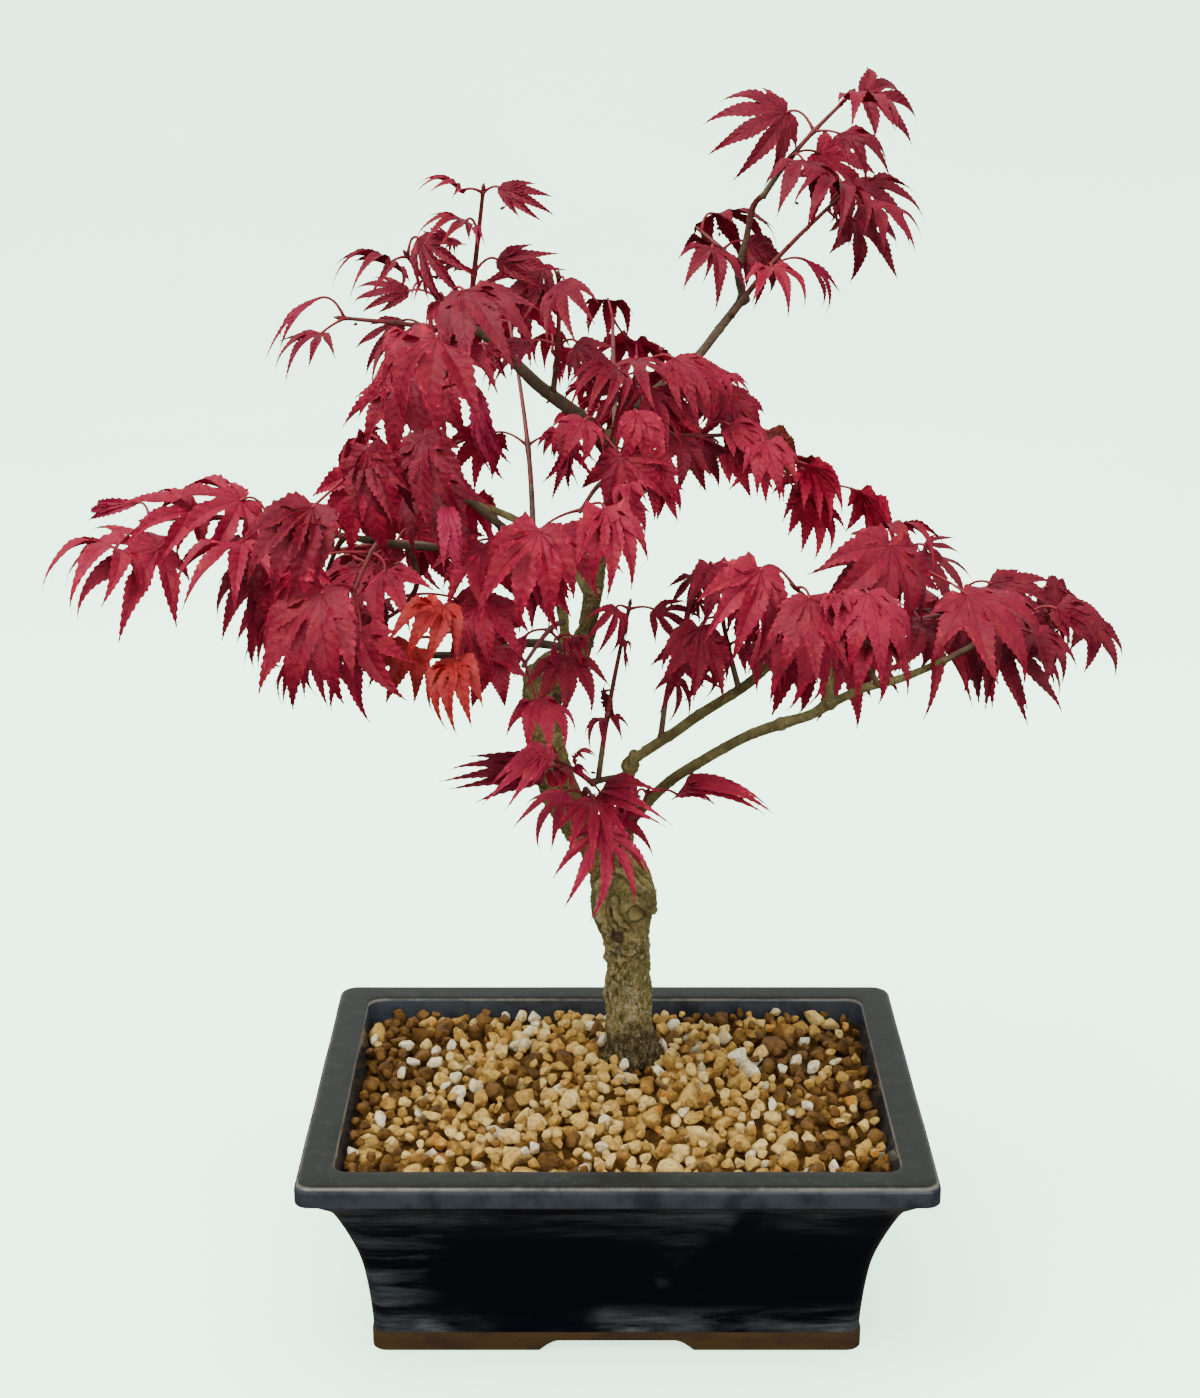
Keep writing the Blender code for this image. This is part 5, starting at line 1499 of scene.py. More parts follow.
class Grain:
    """Where a place of the wood lies on its limb."""

    def __init__(self):
        self.rows = []
        for limb in LIMBS:
            line = limb_line(limb)
            along = 0.0
            for i, row in enumerate(line):
                here = Vector(row[:3])
                before = Vector(line[max(i - 1, 0)][:3])
                after = Vector(line[min(i + 1, len(line) - 1)][:3])
                along += (here - before).length
                self.rows.append((here, (after - before).normalized(), along, row[3], limb))
        self.tree = KDTree(len(self.rows))
        for i, row in enumerate(self.rows):
            self.tree.insert(row[0], i)
        self.tree.balance()

    def find(self, place):
        """(limb, unrolled place, distance along the limb) at a place."""
        best = None
        for _, i, apart in self.tree.find_n(place, NEAR_ROWS):
            depth = apart - self.rows[i][3]
            if best is None or depth < best[0]:
                best = (depth, i)
        here, way, along, _, limb = self.rows[best[1]]
        off = place - here
        lift = off.dot(way)
        unrolled = off - way * lift + way * (along + lift) * GRAIN_STRETCH_ALONG
        return limb, unrolled, along + lift


def old_share(limb, place):
    """How old the bark is: 1 on the lower trunk, 0 on the boughs, and in between on the stems."""
    if limb.name == "trunk":
        return 1.0 - 0.4 * smooth_step(146.0, 160.0, place.z)
    return 0.5 if limb.name in ("right_stem", "left_stem") else 0.0


def relief(settings, unrolled, along, age):
    """Height of the bark in millimetres, and how deep in a crack it lies, 0 to 1."""
    size = settings.plate_size / MM
    bent = unrolled + noise.noise_vector(unrolled / size) * size * 0.6
    ridges = 1 - abs(noise.noise(bent / (size * 0.62)))
    fine = 1 - abs(noise.noise(bent / (size * 0.3) + Vector((3.0, 7.0, 1.0))))
    flakes = noise.fractal(unrolled / 1.8, 0.7, 2.2, 4)
    lumps = noise.noise(unrolled / 9.5) + 0.6 * noise.noise(unrolled / 4.2)
    patchy = smooth_step(-0.3, 0.3, noise.noise(unrolled / 6.0 + Vector((5.0, 1.0, 2.0))))
    crack = smooth_step(0.84, 1.0, ridges) * (0.25 + 0.6 * patchy)
    crack = max(crack, 0.6 * smooth_step(0.84, 1.0, fine))
    rough = age * (settings.lumpiness / MM * lumps + 0.55 * flakes - settings.crack_depth / MM * crack)
    rings = max(0.0, math.cos(math.tau * along / RING_STEP)) ** 24
    smooth = (1 - age) * (0.1 * noise.noise(unrolled / 3.0) + 0.16 * rings)
    return rough + smooth, crack * age


def mark(place, centre, size):
    """1 at a mark's centre and 0 beyond its size, with an uneven edge."""
    apart = (place - Vector(centre)).length
    apart *= 1 + 0.35 * noise.noise(place / 2.6)
    return 1 - smooth_step(size * 0.62, size, apart)


def off_line(place, line):
    """How far a place lies from a line that wavers as bark does."""
    place = place + noise.noise_vector(place / 3.2) * 1.1
    apart = []
    for start, end in zip(line, line[1:]):
        start, run = Vector(start), Vector(end) - Vector(start)
        share = min(max((place - start).dot(run) / run.length_squared, 0.0), 1.0)
        apart.append((place - start - run * share).length)
    return min(apart)


def wound(place):
    """At a healed cut, a sunken disc in a raised lip: its height, bare wood and dark ring."""
    height, bare, ring = 0.0, 0.0, 0.0
    for centre, size in WOUNDS:
        apart = (place - Vector(centre)).length * (1 + 0.12 * noise.noise(place / 2.0))
        lip = math.exp(-(((apart - size) / (size * 0.28)) ** 2))
        disc = 1 - smooth_step(size * 0.7, size * 0.9, apart)
        height += lip * size * 0.24 - disc * size * 0.14
        ring = max(ring, math.exp(-(((apart - size * 0.92) / (size * 0.16)) ** 2)))
        bare = max(bare, disc)
    return height, bare, ring


def bark_values(settings, mesh):
    """Moves the bark's points out by its relief, and returns each one's limb and readings."""
    noise.seed_set(BARK_SEED)
    grain = Grain()
    limbs, rows = [], []
    normals = [vert.normal.copy() for vert in mesh.vertices]
    for vert, normal in zip(mesh.vertices, normals):
        place = vert.co / MM - POT_CENTRE
        limb, unrolled, along = grain.find(place)
        age = old_share(limb, place)
        height, crack = relief(settings, unrolled, along, age)
        scar, bare, ring = wound(place)
        crack = max(crack, ring)
        crest = 0.0
        if FOLD_HEIGHTS[0] < place.z < FOLD_HEIGHTS[1]:
            for rise, width, line in FOLDS:
                apart = off_line(place, line)
                share = 1 - smooth_step(0.0, width, apart)
                # The ridges' crests are marked for a painted highlight, and the grooves beside them take
                # the crack colour as painted shade.
                groove = math.exp(-(((apart / width - 1.2) / 0.3) ** 2)) if rise > 0 else 0.0
                height += rise * share - FOLD_GROOVE * groove
                crack = max(crack * (1 - 0.7 * share), 0.7 * groove, share * (rise < 0))
                crest = max(crest, share * (rise > 0))
        vert.co += normal * (height * (1 - bare * 0.8) + scar) * MM
        limbs.append(limb)
        upper = 0.5 * smooth_step(196.0, 216.0, place.z) * (limb.name == "trunk")
        # Painted shade: the old bark's right side takes the moss colour, darker and greener.
        painted_right_shade = age * smooth_step(2.5, 7.5, unrolled.x)
        rows.append((
            age,
            1.0 if limb.bark == "grey_bark" or limb.name.startswith("left") else 0.0,
            limb.name == "crown_right_shoot" and smooth_step(338.0, 356.0, place.z),
            smooth_step(86.0, 73.0, place.z + 4.0 * noise.noise(place / 5.0)),
            crack * (1 - bare),
            bare,
            max(upper, *(mark(place, *patch) for patch in STAINS)),
            max(painted_right_shade, *(mark(place, *patch) for patch in MOSSES)),
            0.35 + 0.65 * smooth_step(122.0, 106.0, place.z),
            crest,
        ))
    return limbs, dict(zip(BARK_READINGS, zip(*rows)))


def bark_finish(settings):
    """Speckled khaki bark on the trunk that gives way to smooth olive and grey boughs."""
    finish = Finish("maple_bark")
    clouds = finish.noise(0.006, 4.0, 0.6)
    fine = finish.noise(0.0011, 5.0, 0.75)
    specks = finish.noise(0.0019, 6.0, 0.8, 0.6, (1.0, 1.0, 0.6))
    flecks = finish.cells(0.0021)
    blotches = finish.ramp(clouds, 0.35, 0.65, 0.0, 0.45)
    speckled = finish.reading("speckled")
    # Painted highlight: pale colour on the crests of the fold ridges.
    crest = finish.ramp(finish.reading("crest"), 0.3, 1.0, 0.0, 0.55)
    old = finish.layers(
        settings.old,
        (finish.ramp(clouds, 0.42, 0.62, 0.0, 0.7), settings.moss),
        (finish.both(finish.ramp(specks, 0.52, 0.58, 0.0, 0.85), speckled), settings.pale),
        (finish.both(finish.ramp(specks, 0.46, 0.4), speckled), settings.crack),
        (finish.ramp(flecks, 0.24, 0.08, 0.0, 0.6), settings.crack),
        (finish.both(crest, finish.ramp(fine, 0.3, 0.6)), settings.pale),
    )
    pale_flecks = finish.ramp(flecks, 0.2, 0.08, 0.0, 0.6)
    young = finish.layers(settings.young, (blotches, settings.crack), (pale_flecks, settings.pale))
    grey = finish.mix(blotches, settings.grey, settings.stain)
    veil = finish.ramp(specks, 0.4, 0.6, 0.75, 0.25)
    wet = finish.ramp(specks, 0.4, 0.6, 1.0, 0.55)
    dark = finish.ramp(fine, 0.25, 0.6, 0.5, 1.0)
    colour = finish.layers(
        young,
        (finish.reading("grey"), grey),
        (finish.both(finish.reading("red"), 0.85), settings.red),
        # Moss patches, and painted shade on the old trunk's right side.
        (finish.ramp(finish.reading("age"), 0.05, 0.45), old),
        (finish.both(finish.reading("moss"), veil), settings.moss),
        (finish.both(finish.reading("foot"), wet), settings.crack),
        (finish.both(finish.reading("stain"), dark), settings.stain),
        # Cracks, and painted shade in the grooves beside the fold ridges.
        (finish.ramp(finish.reading("crack"), 0.15, 0.95, 0.0, 0.85), settings.crack),
        (finish.both(finish.reading("bare"), 0.8), settings.scar),
    )
    normal = finish.bump(fine, 0.0006)
    normal = finish.bump(specks, 0.0022, normal)
    return finish.shade(colour, 0.82, 0.25, normal)


def share_out(name, mesh, limbs, readings, bark):
    """The part of the wood's mesh that lies on limbs with this bark, with its readings."""
    verts, faces, numbers = [], [], {}
    for face in mesh.polygons:
        if limbs[face.vertices[0]].bark != bark:
            continue
        for index in face.vertices:
            if index not in numbers:
                numbers[index] = len(verts)
                verts.append(mesh.vertices[index].co)
        faces.append([numbers[index] for index in face.vertices])
    part = mesh_of(name, verts, faces)
    order = sorted(numbers, key=numbers.get)
    for reading, values in readings.items():
        attribute = part.attributes.new(reading, "FLOAT", "POINT")
        attribute.data.foreach_set("value", [values[index] for index in order])
    return part


class MAPLE_OT_bark(bpy.types.Operator):
    """Makes the trunk and boughs with their bark's relief"""

    bl_idname = "maple.bark"
    bl_label = "Trunk and boughs"

    def execute(self, context):
        settings = context.scene.maple_bark
        wood = bare_wood(settings)
        limbs, readings = bark_values(settings, wood)
        finish = bark_finish(settings)
        names = {"bark": "trunk_bark", "young_bark": "olive_boughs", "grey_bark": "grey_boughs"}
        for bark, name in names.items():
            part = share_out(name, wood, limbs, readings, bark)
            replaced = [limb.name for limb in LIMBS if limb.bark == bark]
            show(name, part, bark, replaced, (finish,))
        bpy.data.meshes.remove(wood)
        return {"FINISHED"}


# ------------------------ leaf patterns

Pattern = namedtuple("Pattern", "x y lobe centre reach quilt under faces finishes")


class PatternMaker:
    """Draws one kind of leaf flat, a unit long, its middle lobe along x."""

    def __init__(self, kind, tooth):
        self.kind = KINDS[kind]
        self.tooth = tooth
        self.keys = {}
        self.rows = []
        self.faces = []
        self.finishes = []

    def point(self, x, y, lobe, centre, reach, quilt, under):
        """The number of a point beside a lobe's midrib. Points in one place and layer are one."""
        turn = math.radians(centre)
        flat_x = x * math.cos(turn) - y * math.sin(turn)
        flat_y = x * math.sin(turn) + y * math.cos(turn)
        key = (round(flat_x, 4), round(flat_y, 4), under > 0)
        if key not in self.keys:
            self.keys[key] = len(self.rows)
            self.rows.append((x, y, lobe, turn, reach, quilt, under))
        return self.keys[key]

    def face(self, finish, *corners):
        """A face, less any corners that fall together."""
        corners = [c for i, c in enumerate(corners) if c != corners[i - 1]]
        if len(set(corners)) > 2:
            self.faces.append(tuple(corners))
            self.finishes.append(finish)

    def half_width(self, u, neck):
        """Half a lobe's width at a share of its free length."""
        belly = np.interp(u, LOBE_SHARES, LOBE_BELLY) * self.kind.half_width * LOBE_FULLNESS
        return neck * (1 - u) ** 3 + belly

    def half_lobe(self, lobe, side, centre, reach, bisector, cut, steps):
        """Half a lobe, from its midrib out to the margin on one side."""
        half = math.radians(abs(bisector - centre))
        neck_x, neck_y = cut * math.cos(half), cut * math.sin(half)

        def lay(x, y, quilt=0.0, under=0.0):
            return self.point(x, side * y, lobe, centre, reach, quilt, under)

        ribs, veins, inners, margins, unders, backs = [], [], [], [], [], []
        for step in range(BASE_STEPS + steps + 1):
            if step <= BASE_STEPS:
                share = step / BASE_STEPS
                x, y = neck_x * share, neck_y * share
                thick = RIB_THICKNESS * share
            else:
                u = ((step - BASE_STEPS) / steps) ** 0.92
                x, y = neck_x + (reach - neck_x) * u, self.half_width(u, neck_y)
                thick = RIB_THICKNESS * (1 - u) + 0.002
            vein = min(VEIN_WIDTH * (1 - 0.8 * x / reach), y / 2)
            quilt = QUILT * (1 if step % 2 else -1) * min(1.0, y / 0.06)
            ribs.append(lay(x, 0.0))
            veins.append(lay(x, vein))
            inners.append(lay(x + y * 0.15, y * 0.55, quilt))
            margins.append(lay(x, y))
            unders.append(lay(x, 0.0, 0.0, thick))
            backs.append(lay(x, y, 0.0, thick / 2) if step < BASE_STEPS else margins[-1])
        last = BASE_STEPS + steps
        for i in range(last):
            # The midrib's faces take the vein finish, painted darker: partly the vein's own colour, partly
            # painted shade in the midrib's groove.
            finish = "vein" if i < last - 2 else "blade"
            self.turned(side, finish, ribs[i], ribs[i + 1], veins[i + 1], veins[i])
            self.turned(side, "blade", veins[i], veins[i + 1], inners[i + 1], inners[i])
            if i < BASE_STEPS:
                self.turned(side, "blade", inners[i], inners[i + 1], margins[i + 1], margins[i])
                self.turned(-side, "under", unders[i], unders[i + 1], backs[i + 1], backs[i])
                continue
            u = ((i - BASE_STEPS + TOOTH_AT) / steps) ** 0.92
            height = self.tooth * min(1.0, u / 0.3) * (1 - u) ** 0.35
            tip = lay(neck_x + (reach - neck_x) * u, self.half_width(u, neck_y) + height)
            self.turned(side, "blade", inners[i], tip, margins[i])
            self.turned(side, "blade", inners[i], inners[i + 1], margins[i + 1], tip)
            self.turned(-side, "under", unders[i], tip, backs[i])
            self.turned(-side, "under", unders[i], unders[i + 1], backs[i + 1], tip)

    def turned(self, side, finish, *corners):
        self.face(FINISHES.index(finish), *(corners if side > 0 else corners[::-1]))

    def draw(self):
        lobes = self.kind.lobes
        spread = [(-angle, share) for angle, share in lobes[:0:-1]] + list(lobes)
        for lobe, (centre, reach) in enumerate(spread):
            steps = max(3, round(TOOTH_COUNT * reach))
            for side in (-1, 1):
                other = lobe + side
                if 0 <= other < len(spread):
                    bisector = (centre + spread[other][0]) / 2
                    cut = self.kind.cut * CUT_DEPTH * (reach + spread[other][1]) / 2
                else:
                    bisector, cut = side * 180.0, NOTCH
                self.half_lobe(lobe, side, centre, reach, bisector, cut, steps)
        table = np.array(self.rows)
        x, y, lobe, centre, reach, quilt, under = table.T
        return Pattern(x, y, lobe.astype(int), centre, reach, quilt, under, self.faces, self.finishes)


def bent_leaf(pattern, leaf, droop, young, rng):
    """The pattern bent like an umbrella into one living leaf: places in the tables' millimetres.

    Young leaves are still half folded, and stand out from their twig rather than hang.
    """
    count = pattern.lobe.max() + 1
    curl = np.array([rng.uniform(*LOBE_CURL) for _ in range(count)])[pattern.lobe]
    sway = np.array([rng.gauss(0.0, LOBE_SWAY) for _ in range(count)])[pattern.lobe]
    wave = np.array([rng.uniform(0.0, math.tau) for _ in range(count)])[pattern.lobe]
    fold = rng.uniform(*LEAF_FOLD)
    droop *= rng.uniform(*DROOP_SPREAD)
    opening, lift_out, width, growth = young or (1.0, 0.0, 1.0, 1.0)
    closing = opening * rng.uniform(*(YOUNG_SPREAD if young else LEAF_CLOSING))
    along = np.clip(pattern.x / pattern.reach, 0.0, 1.0)
    far = np.clip((along - 0.3) / 0.7, 0.0, 1.0)
    turn = pattern.centre * closing + sway * far**2
    y = pattern.y * (1 - (1 - width) * np.minimum(along * 4.0, 1.0))
    flat_x = pattern.x * np.cos(turn) - y * np.sin(turn)
    flat_y = pattern.x * np.sin(turn) + y * np.cos(turn)
    reach = np.hypot(flat_x, flat_y)
    bend = droop + curl * far
    shrink = np.sin(bend * reach) / (bend * np.maximum(reach, TINY))
    rise = -(1 - np.cos(bend * reach)) / bend
    rise += fold * np.abs(y) * np.minimum(along * 3.0, 1.0)
    rise += EDGE_WAVE * np.abs(y) * np.sin(wave + along * 9.0)
    rise += pattern.quilt - pattern.under
    x, y = flat_x * shrink, flat_y * shrink
    lift = max(droop / 2 - FRAME_DROOP, 0.0)
    raised = (x * math.cos(lift) - rise * math.sin(lift), y, x * math.sin(lift) + rise * math.cos(lift))
    heading = (leaf.petiole[-1] - leaf.petiole[0]).cross(UP)
    turned = Matrix.Rotation(math.radians(lift_out), 3, heading) @ leaf.matrix.to_3x3()
    size = leaf.length * growth
    return (np.stack(raised, axis=1) * size) @ np.array(turned).T + np.array(leaf.matrix)[:3, 3]


# ------------------------ foliage


def stalk_line(leaf):
    """Points and radii of a leaf's stalk, thicker at both ends."""
    start, middle, end = leaf.petiole
    bend = middle * 2 - (start + end) / 2
    points = arc(start, bend, end, STALK_STEPS)
    radii = []
    for i in range(STALK_STEPS + 1):
        share = i / STALK_STEPS
        radii.append(STALK_RADIUS * (1 + 0.7 * (1 - share) ** 6 + 0.35 * share**8))
    return points, radii


def twig_line(twig, foot_depth, nodes=()):
    """Points and radii of a twig. It starts inside what bears it, and swells at its nodes."""
    rows = [(*point, radius) for point, radius in zip(twig.points, twig.radii)]
    rows = smooth_route(rows, TWIG_STEPS)
    radii = []
    for i, row in enumerate(rows):
        share = i / (len(rows) - 1)
        swell = sum(math.exp(-(((share - node) / NODE_LENGTH) ** 2)) for node in nodes)
        radii.append(row[3] * (1 + NODE_SWELL * swell))
    points = [Vector(row[:3]) for row in rows]
    foot = points[0] - (points[1] - points[0]).normalized() * foot_depth
    return [foot, *points], [radii[0] * FOOT_FLARE, *radii]


def bud(place, way, size):
    """A pointed bud."""
    points = [place + way * size * share for share in BUD_SHARES]
    return tube(points, [size * width for width in BUD_WIDTHS], 6)


def leaf_tint(rng, spray, leaf):
    """The colour of a leaf: most are its spray's, and some its neighbours'."""
    if leaf.kind == "shut":
        return "magenta"
    middle = SPRAY_TINTS.get(spray.name)
    if middle and rng.random() < TINT_KEPT:
        return middle
    # Leaves deeper in the crown are more often garnet or wine: painted shade.
    inner = smooth_step(*INNER_Y, leaf.petiole[-1].y)
    draw = rng.random()
    if draw < TURNED_SHARE:
        return rng.choice(("orange", "scarlet"))
    if draw < TURNED_SHARE + inner / 2:
        return "wine" if rng.random() < WINE_SHARE else "garnet"
    return rng.choice(("crimson", "crimson", "crimson", "garnet", "garnet"))


def grow_finer(space, spray, twigs):
    """Finer side twigs between a spray's leaf pairs, each with a pair of small leaves."""
    small = spray._replace(leaf=spray.leaf * FINE_LEAF, seed=spray.seed + FINE_SEED)
    finer, leaves = [], []
    for number, twig in enumerate(twigs):
        for i, share in enumerate(FINE_SHARES):
            node, way = along_arc(twig.points, share)
            key = f"fine{number}_{i}"
            rng = dice(small, key)
            level = way.cross(UP).normalized() * rng.choice((-1, 1))
            reach = (level + way * rng.uniform(0.2, 0.9) + UP * rng.uniform(-0.1, 0.5)).normalized()
            reach *= spray.leaf * rng.uniform(*FINE_LENGTH)
            radii = [FINE_RADIUS] * (FORK_PARTS + 1)
            points = clear_twig(space, small, key, node, node + reach / 2, node + reach, radii)
            if not points or not within(node + reach):
                continue
            new = Twig(points, radii, None)
            space.add(spray.name, *twig_shape(new.points, new.radii))
            finer.append(new)
            if rng.random() > BARE_SHARE:
                leaves.extend(grow_pair(space, small, key, *along_arc(points, FORK_PAIR), i))
    return finer, leaves


def within(place):
    """Whether there is room for a leaf round a place inside the frame's box."""
    low, high = CAD_BOUNDS
    point = at(place)
    return all(low[i] + EDGE_ROOM * MM < point[i] < high[i] - EDGE_ROOM * MM for i in range(3))


def grow_crown():
    """Every spray: (spray, twigs, leaves, finer twigs, finer leaves), by the frame's rule and then on."""
    space = Space()
    for limb in LIMBS:
        space.add_limb(limb.name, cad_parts[limb.name].data)
    routes = {limb.name: limb_route(limb) for limb in LIMBS}
    grown = [(spray, *grow_spray(space, spray, routes)) for spray in SPRAYS]
    return [(spray, twigs, leaves, *grow_finer(space, spray, twigs)) for spray, twigs, leaves in grown]


def leaf_finishes(name, colour):
    """Upper side, veins and underside of one tint. The veins are painted darker, partly as painted shade,
    and the underside brighter, partly as painted light.
    """
    colour = tuple(colour)
    finishes = []
    # Veins at 0.7: partly their own colour, partly painted shade in the midrib's groove. Underside at 1.7:
    # partly its own paler colour, partly painted light that brightens the shaded underside as light
    # through the leaf would.
    for part, shade, rough in (("blade", 1.0, 0.55), ("vein", 0.7, 0.55), ("under", 1.7, 0.65)):
        finish = Finish(f"{name}_{part}")
        base = tuple(c * shade for c in colour)
        darker = tuple(c * 0.68 for c in base)
        warmer = (base[0] * 1.15, base[1] * 2.3 + 0.006, base[2] * 0.95)
        patches = finish.ramp(finish.noise(0.0065, 3.0, 0.5), 0.36, 0.72, 0.0, 0.7)
        # Warmer, lighter patches: partly the leaves' orange tint, partly a painted highlight on their
        # puckers.
        warm_tint_and_highlight = finish.ramp(finish.noise(0.0045, 3.0, 0.6), 0.42, 0.72, 0.0, 0.6)
        ribs = finish.both(finish.reading("ribs"), RIB_SPACING / 2, "PINGPONG")
        veins = finish.ramp(ribs, 0.001, 0.011, 0.24, 0.0)
        skin = finish.layers(base, (patches, darker), (warm_tint_and_highlight, warmer), (veins, darker))
        pleats = finish.bump(finish.ramp(ribs, 0.0, RIB_SPACING / 2), 0.0001)
        normal = finish.bump(finish.noise(0.0014, 3.0, 0.6), 0.0004, pleats)
        finishes.append(finish.shade(skin, rough, 0.2, normal))
    return finishes


def twig_finish(name, colour, dark):
    """Thin bark of twigs, stalks and buds."""
    finish = Finish(name)
    patches = finish.ramp(finish.noise(0.005, 4.0, 0.6), 0.38, 0.68)
    base = finish.mix(patches, colour, dark)
    normal = finish.bump(finish.noise(0.0012, 3.0, 0.6), 0.0002)
    return finish.shade(base, 0.5, 0.4, normal)


class MAPLE_OT_foliage(bpy.types.Operator):
    """Grows the twigs, buds, stalks and leaves of every spray"""

    bl_idname = "maple.foliage"
    bl_label = "Twigs and leaves"

    def execute(self, context):
        settings = context.scene.maple_foliage
        patterns = {kind: PatternMaker(kind, settings.tooth).draw() for kind in KINDS}
        twigs, shoots, stalks, buds = Batch(), Batch(), Batch(), Batch()
        tints = {}
        for spray, stems, leaves, finer, small in grow_crown():
            points, faces = tube(*twig_line(stems[0], TWIG_FOOT, pair_shares(spray)), 7)
            red = [1 if i > RED_SHARE * len(faces) else 0 for i in range(len(faces))]
            twigs.add(points, faces, red)
            for twig in [*stems[1:], *finer]:
                shoots.add(*tube(*twig_line(twig, 0.0), 6))
                tip, way = along_arc(twig.points, 1.0)
                buds.add(*bud(tip, way, BUD_LENGTH * SMALL_BUD))
            tip, way = along_arc(stems[0].points, 1.0)
            buds.add(*bud(tip, way, BUD_LENGTH))
            for i, leaf in enumerate([*leaves, *small]):
                rng = random.Random(f"{spray.name}-leaf{i}")
                stalks.add(*tube(*stalk_line(leaf), 5))
                pattern = patterns[leaf.kind]
                points = bent_leaf(pattern, leaf, settings.droop, YOUNG.get(spray.name), rng)
                tint = leaf_tint(rng, spray, leaf)
                ribs = pattern.x - RIB_SLANT * np.abs(pattern.y)
                tints.setdefault(tint, Batch()).add(points, pattern.faces, pattern.finishes, ribs)
        masses = [f"{spray.name}_leaves" for spray in SPRAYS]
        wood = twig_finish("twig_bark", settings.twig, settings.bud)
        red = twig_finish("shoot_bark", settings.shoot, settings.bud)
        stem = twig_finish("stalk_skin", settings.stalk, settings.shoot)
        scales = twig_finish("bud_scales", settings.bud, settings.shoot)
        show("twigs", twigs.mesh("twigs"), "leaves", masses, (wood, red))
        show("shoots", shoots.mesh("shoots"), "leaves", (), (red,))
        show("leaf_stalks", stalks.mesh("leaf_stalks"), "leaves", (), (stem,))
        show("buds", buds.mesh("buds"), "leaves", (), (scales,))
        for tint, batch in sorted(tints.items()):
            name = f"{tint}_leaves"
            blades = batch.mesh(name)
            blades.set_sharp_from_angle(angle=LEAF_EDGE)
            blades.attributes.new("ribs", "FLOAT", "POINT").data.foreach_set("value", batch.ribs)
            show(name, blades, "leaves", (), leaf_finishes(tint, getattr(settings, tint)))
        return {"FINISHED"}


# ------------------------ stage


def floor_finish(settings):
    """Plain pale board, a little uneven, and lit from behind as well."""
    finish = Finish("pale_board")
    colour = settings.floor
    shadow = tuple(c * 0.97 for c in colour)
    clouds = finish.ramp(finish.noise(0.35, 2.0, 0.5), 0.35, 0.65)
    board = finish.mix(clouds, colour, shadow)
    return finish.shade(board, 0.85, 0.2, Emission_Color=board, Emission_Strength=FLOOR_GLOW)


def floor_bowl():
    """A round floor that sweeps up into a wall on every side."""
    profile = []
    for step in range(SWEEP_STEPS + 1):
        turn = math.pi / 2 * step / SWEEP_STEPS
        profile.append((FLOOR_RADIUS - SWEEP * (1 - math.sin(turn)), SWEEP * (1 - math.cos(turn))))
    profile.append((FLOOR_RADIUS, WALL_HEIGHT))
    points = []
    for radius, z in profile:
        for side in range(FLOOR_SIDES):
            turn = math.tau * side / FLOOR_SIDES
            points.append((radius * math.cos(turn), radius * math.sin(turn), z - FLOOR_DROP))
    sweep = [(b, a, d, c) for a, b, c, d in ring_faces(len(profile), FLOOR_SIDES)]
    return mesh_of("floor", points, [tuple(range(FLOOR_SIDES)), *sweep])


def soft_light(name, place, target, size, power):
    """A large square light that faces a target."""
    data = bpy.data.lights.new(name, "AREA")
    data.size = size
    data.energy = power
    light = held(name, data)
    light.location = place
    light.visible_camera = False
    light.rotation_euler = (Vector(target) - Vector(place)).to_track_quat("-Z", "Y").to_euler()
    return light


def pale_room(settings):
    """Even light from above and all round, and little from below."""
    world = bpy.data.worlds.new("pale_room")
    world.use_nodes = True
    tree = world.node_tree
    place = tree.nodes.new("ShaderNodeTexCoord")
    split = tree.nodes.new("ShaderNodeSeparateXYZ")
    tree.links.new(place.outputs["Generated"], split.inputs[0])
    ramp = tree.nodes.new("ShaderNodeValToRGB")
    tree.links.new(split.outputs["Z"], ramp.inputs[0])
    low, high = ramp.color_ramp.elements
    low.position, low.color = HORIZON[0], (*DIM_BELOW, 1.0)
    high.position, high.color = HORIZON[1], (*SKY_COLOUR, 1.0)
    background = tree.nodes["Background"]
    tree.links.new(ramp.outputs["Color"], background.inputs["Color"])
    background.inputs["Strength"].default_value = settings.sky
    return world


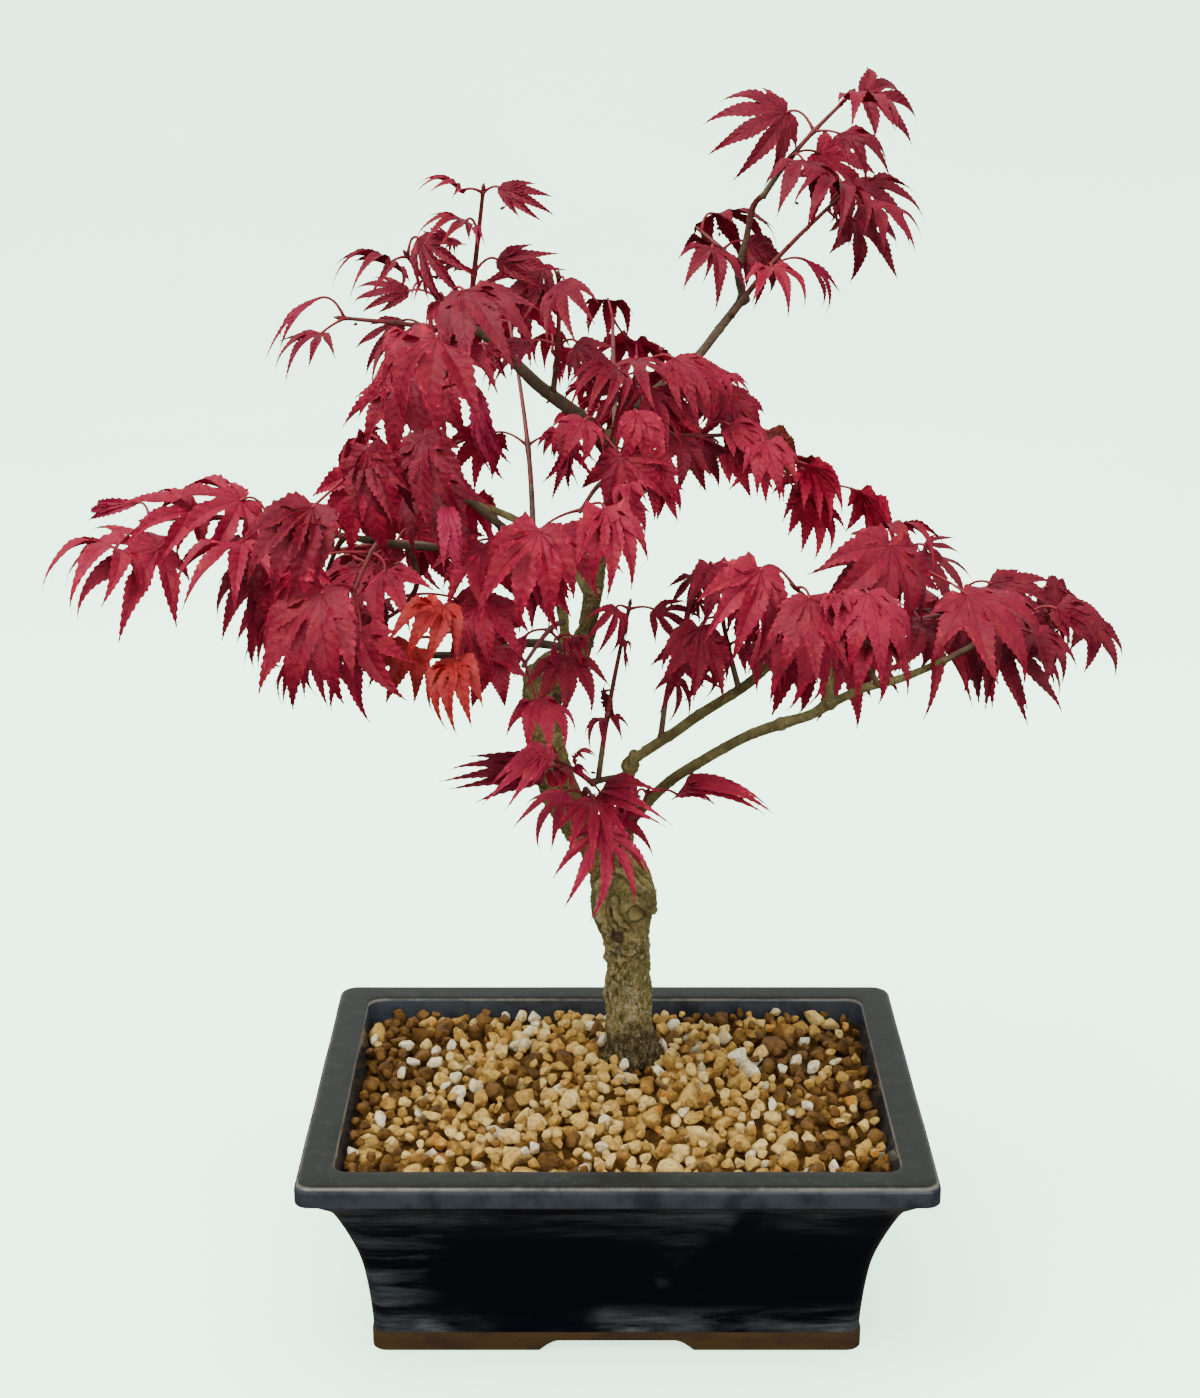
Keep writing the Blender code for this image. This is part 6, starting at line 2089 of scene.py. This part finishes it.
class MAPLE_OT_stage(bpy.types.Operator):
    """Sets up the camera, the pale floor and the soft lights"""

    bl_idname = "maple.stage"
    bl_label = "Stage"

    def execute(self, context):
        settings = context.scene.maple_stage
        data = bpy.data.cameras.new("camera")
        data.sensor_fit = "VERTICAL"
        data.sensor_height = SENSOR
        data.lens = settings.lens
        data.clip_end = 20.0
        camera = held("camera", data)
        place = Vector((-settings.aside, -settings.distance, settings.height))
        camera.location = POT_CENTRE * MM + place
        camera.rotation_euler = (math.pi / 2 - settings.tilt, 0.0, 0.0)
        context.scene.camera = camera
        floor = held("floor", floor_bowl())
        floor.data.materials.append(floor_finish(settings))
        floor.visible_glossy = False
        floor.visible_diffuse = False
        floor.visible_shadow = False
        floor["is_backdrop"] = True
        only_floor = bpy.data.collections.new("only_floor")
        only_floor.objects.link(floor)
        all_but_floor = bpy.data.collections.new("all_but_floor")
        all_but_floor.objects.link(floor)
        all_but_floor.collection_objects[0].light_linking.link_state = "EXCLUDE"
        for name, place, target, size, share in LIGHTS:
            light = soft_light(name, place, target, size, settings.light_power * share)
            light.visible_glossy = name != "behind"
            if name != "overhead":
                light.light_linking.receiver_collection = all_but_floor
        light = soft_light(*FLOOR_LIGHT, settings.floor_power)
        light.light_linking.receiver_collection = only_floor
        context.scene.world = pale_room(settings)
        return {"FINISHED"}


# ------------------------ panel


class MAPLE_PT_finish(bpy.types.Panel):
    """Buttons and settings for the pieces of the bonsai"""

    bl_idname = "MAPLE_PT_finish"
    bl_label = "Maple bonsai"
    bl_space_type = "VIEW_3D"
    bl_region_type = "UI"
    bl_category = "Maple"

    def draw(self, context):
        for label, settings, _, operators in PANEL_ROWS:
            box = self.layout.box()
            box.label(text=label)
            for operator in operators:
                box.operator(operator.bl_idname)
            group = getattr(context.scene, settings)
            for name in group.__annotations__:
                box.prop(group, name)


PANEL_ROWS = (
    ("Stage", "maple_stage", StageSettings, (MAPLE_OT_stage,)),
    ("Pot", "maple_pot", PotSettings, (MAPLE_OT_pot,)),
    ("Soil", "maple_soil", SoilSettings, (MAPLE_OT_soil, MAPLE_OT_grit)),
    ("Bark", "maple_bark", BarkSettings, (MAPLE_OT_bark,)),
    ("Foliage", "maple_foliage", FoliageSettings, (MAPLE_OT_foliage,)),
)
SETTINGS = {name: group for _, name, group, _ in PANEL_ROWS}
OPERATORS = [operator for *_, row in PANEL_ROWS for operator in row]
CLASSES = (*SETTINGS.values(), *OPERATORS, MAPLE_PT_finish)


def register():
    for cls in CLASSES:
        bpy.utils.register_class(cls)
    for name, group in SETTINGS.items():
        setattr(bpy.types.Scene, name, PointerProperty(type=group))


def unregister():
    for name in SETTINGS:
        delattr(bpy.types.Scene, name)
    for cls in reversed(CLASSES):
        bpy.utils.unregister_class(cls)


def main():
    register()
    for name in ("stage", "pot", "soil", "grit", "bark", "foliage"):
        getattr(bpy.ops.maple, name)()
    sizes = {"cad": CAD_BOUNDS, "scene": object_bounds()}
    {name: [list(corner) for corner in box] for name, box in sizes.items()}


if __name__ == "__main__":
    main()
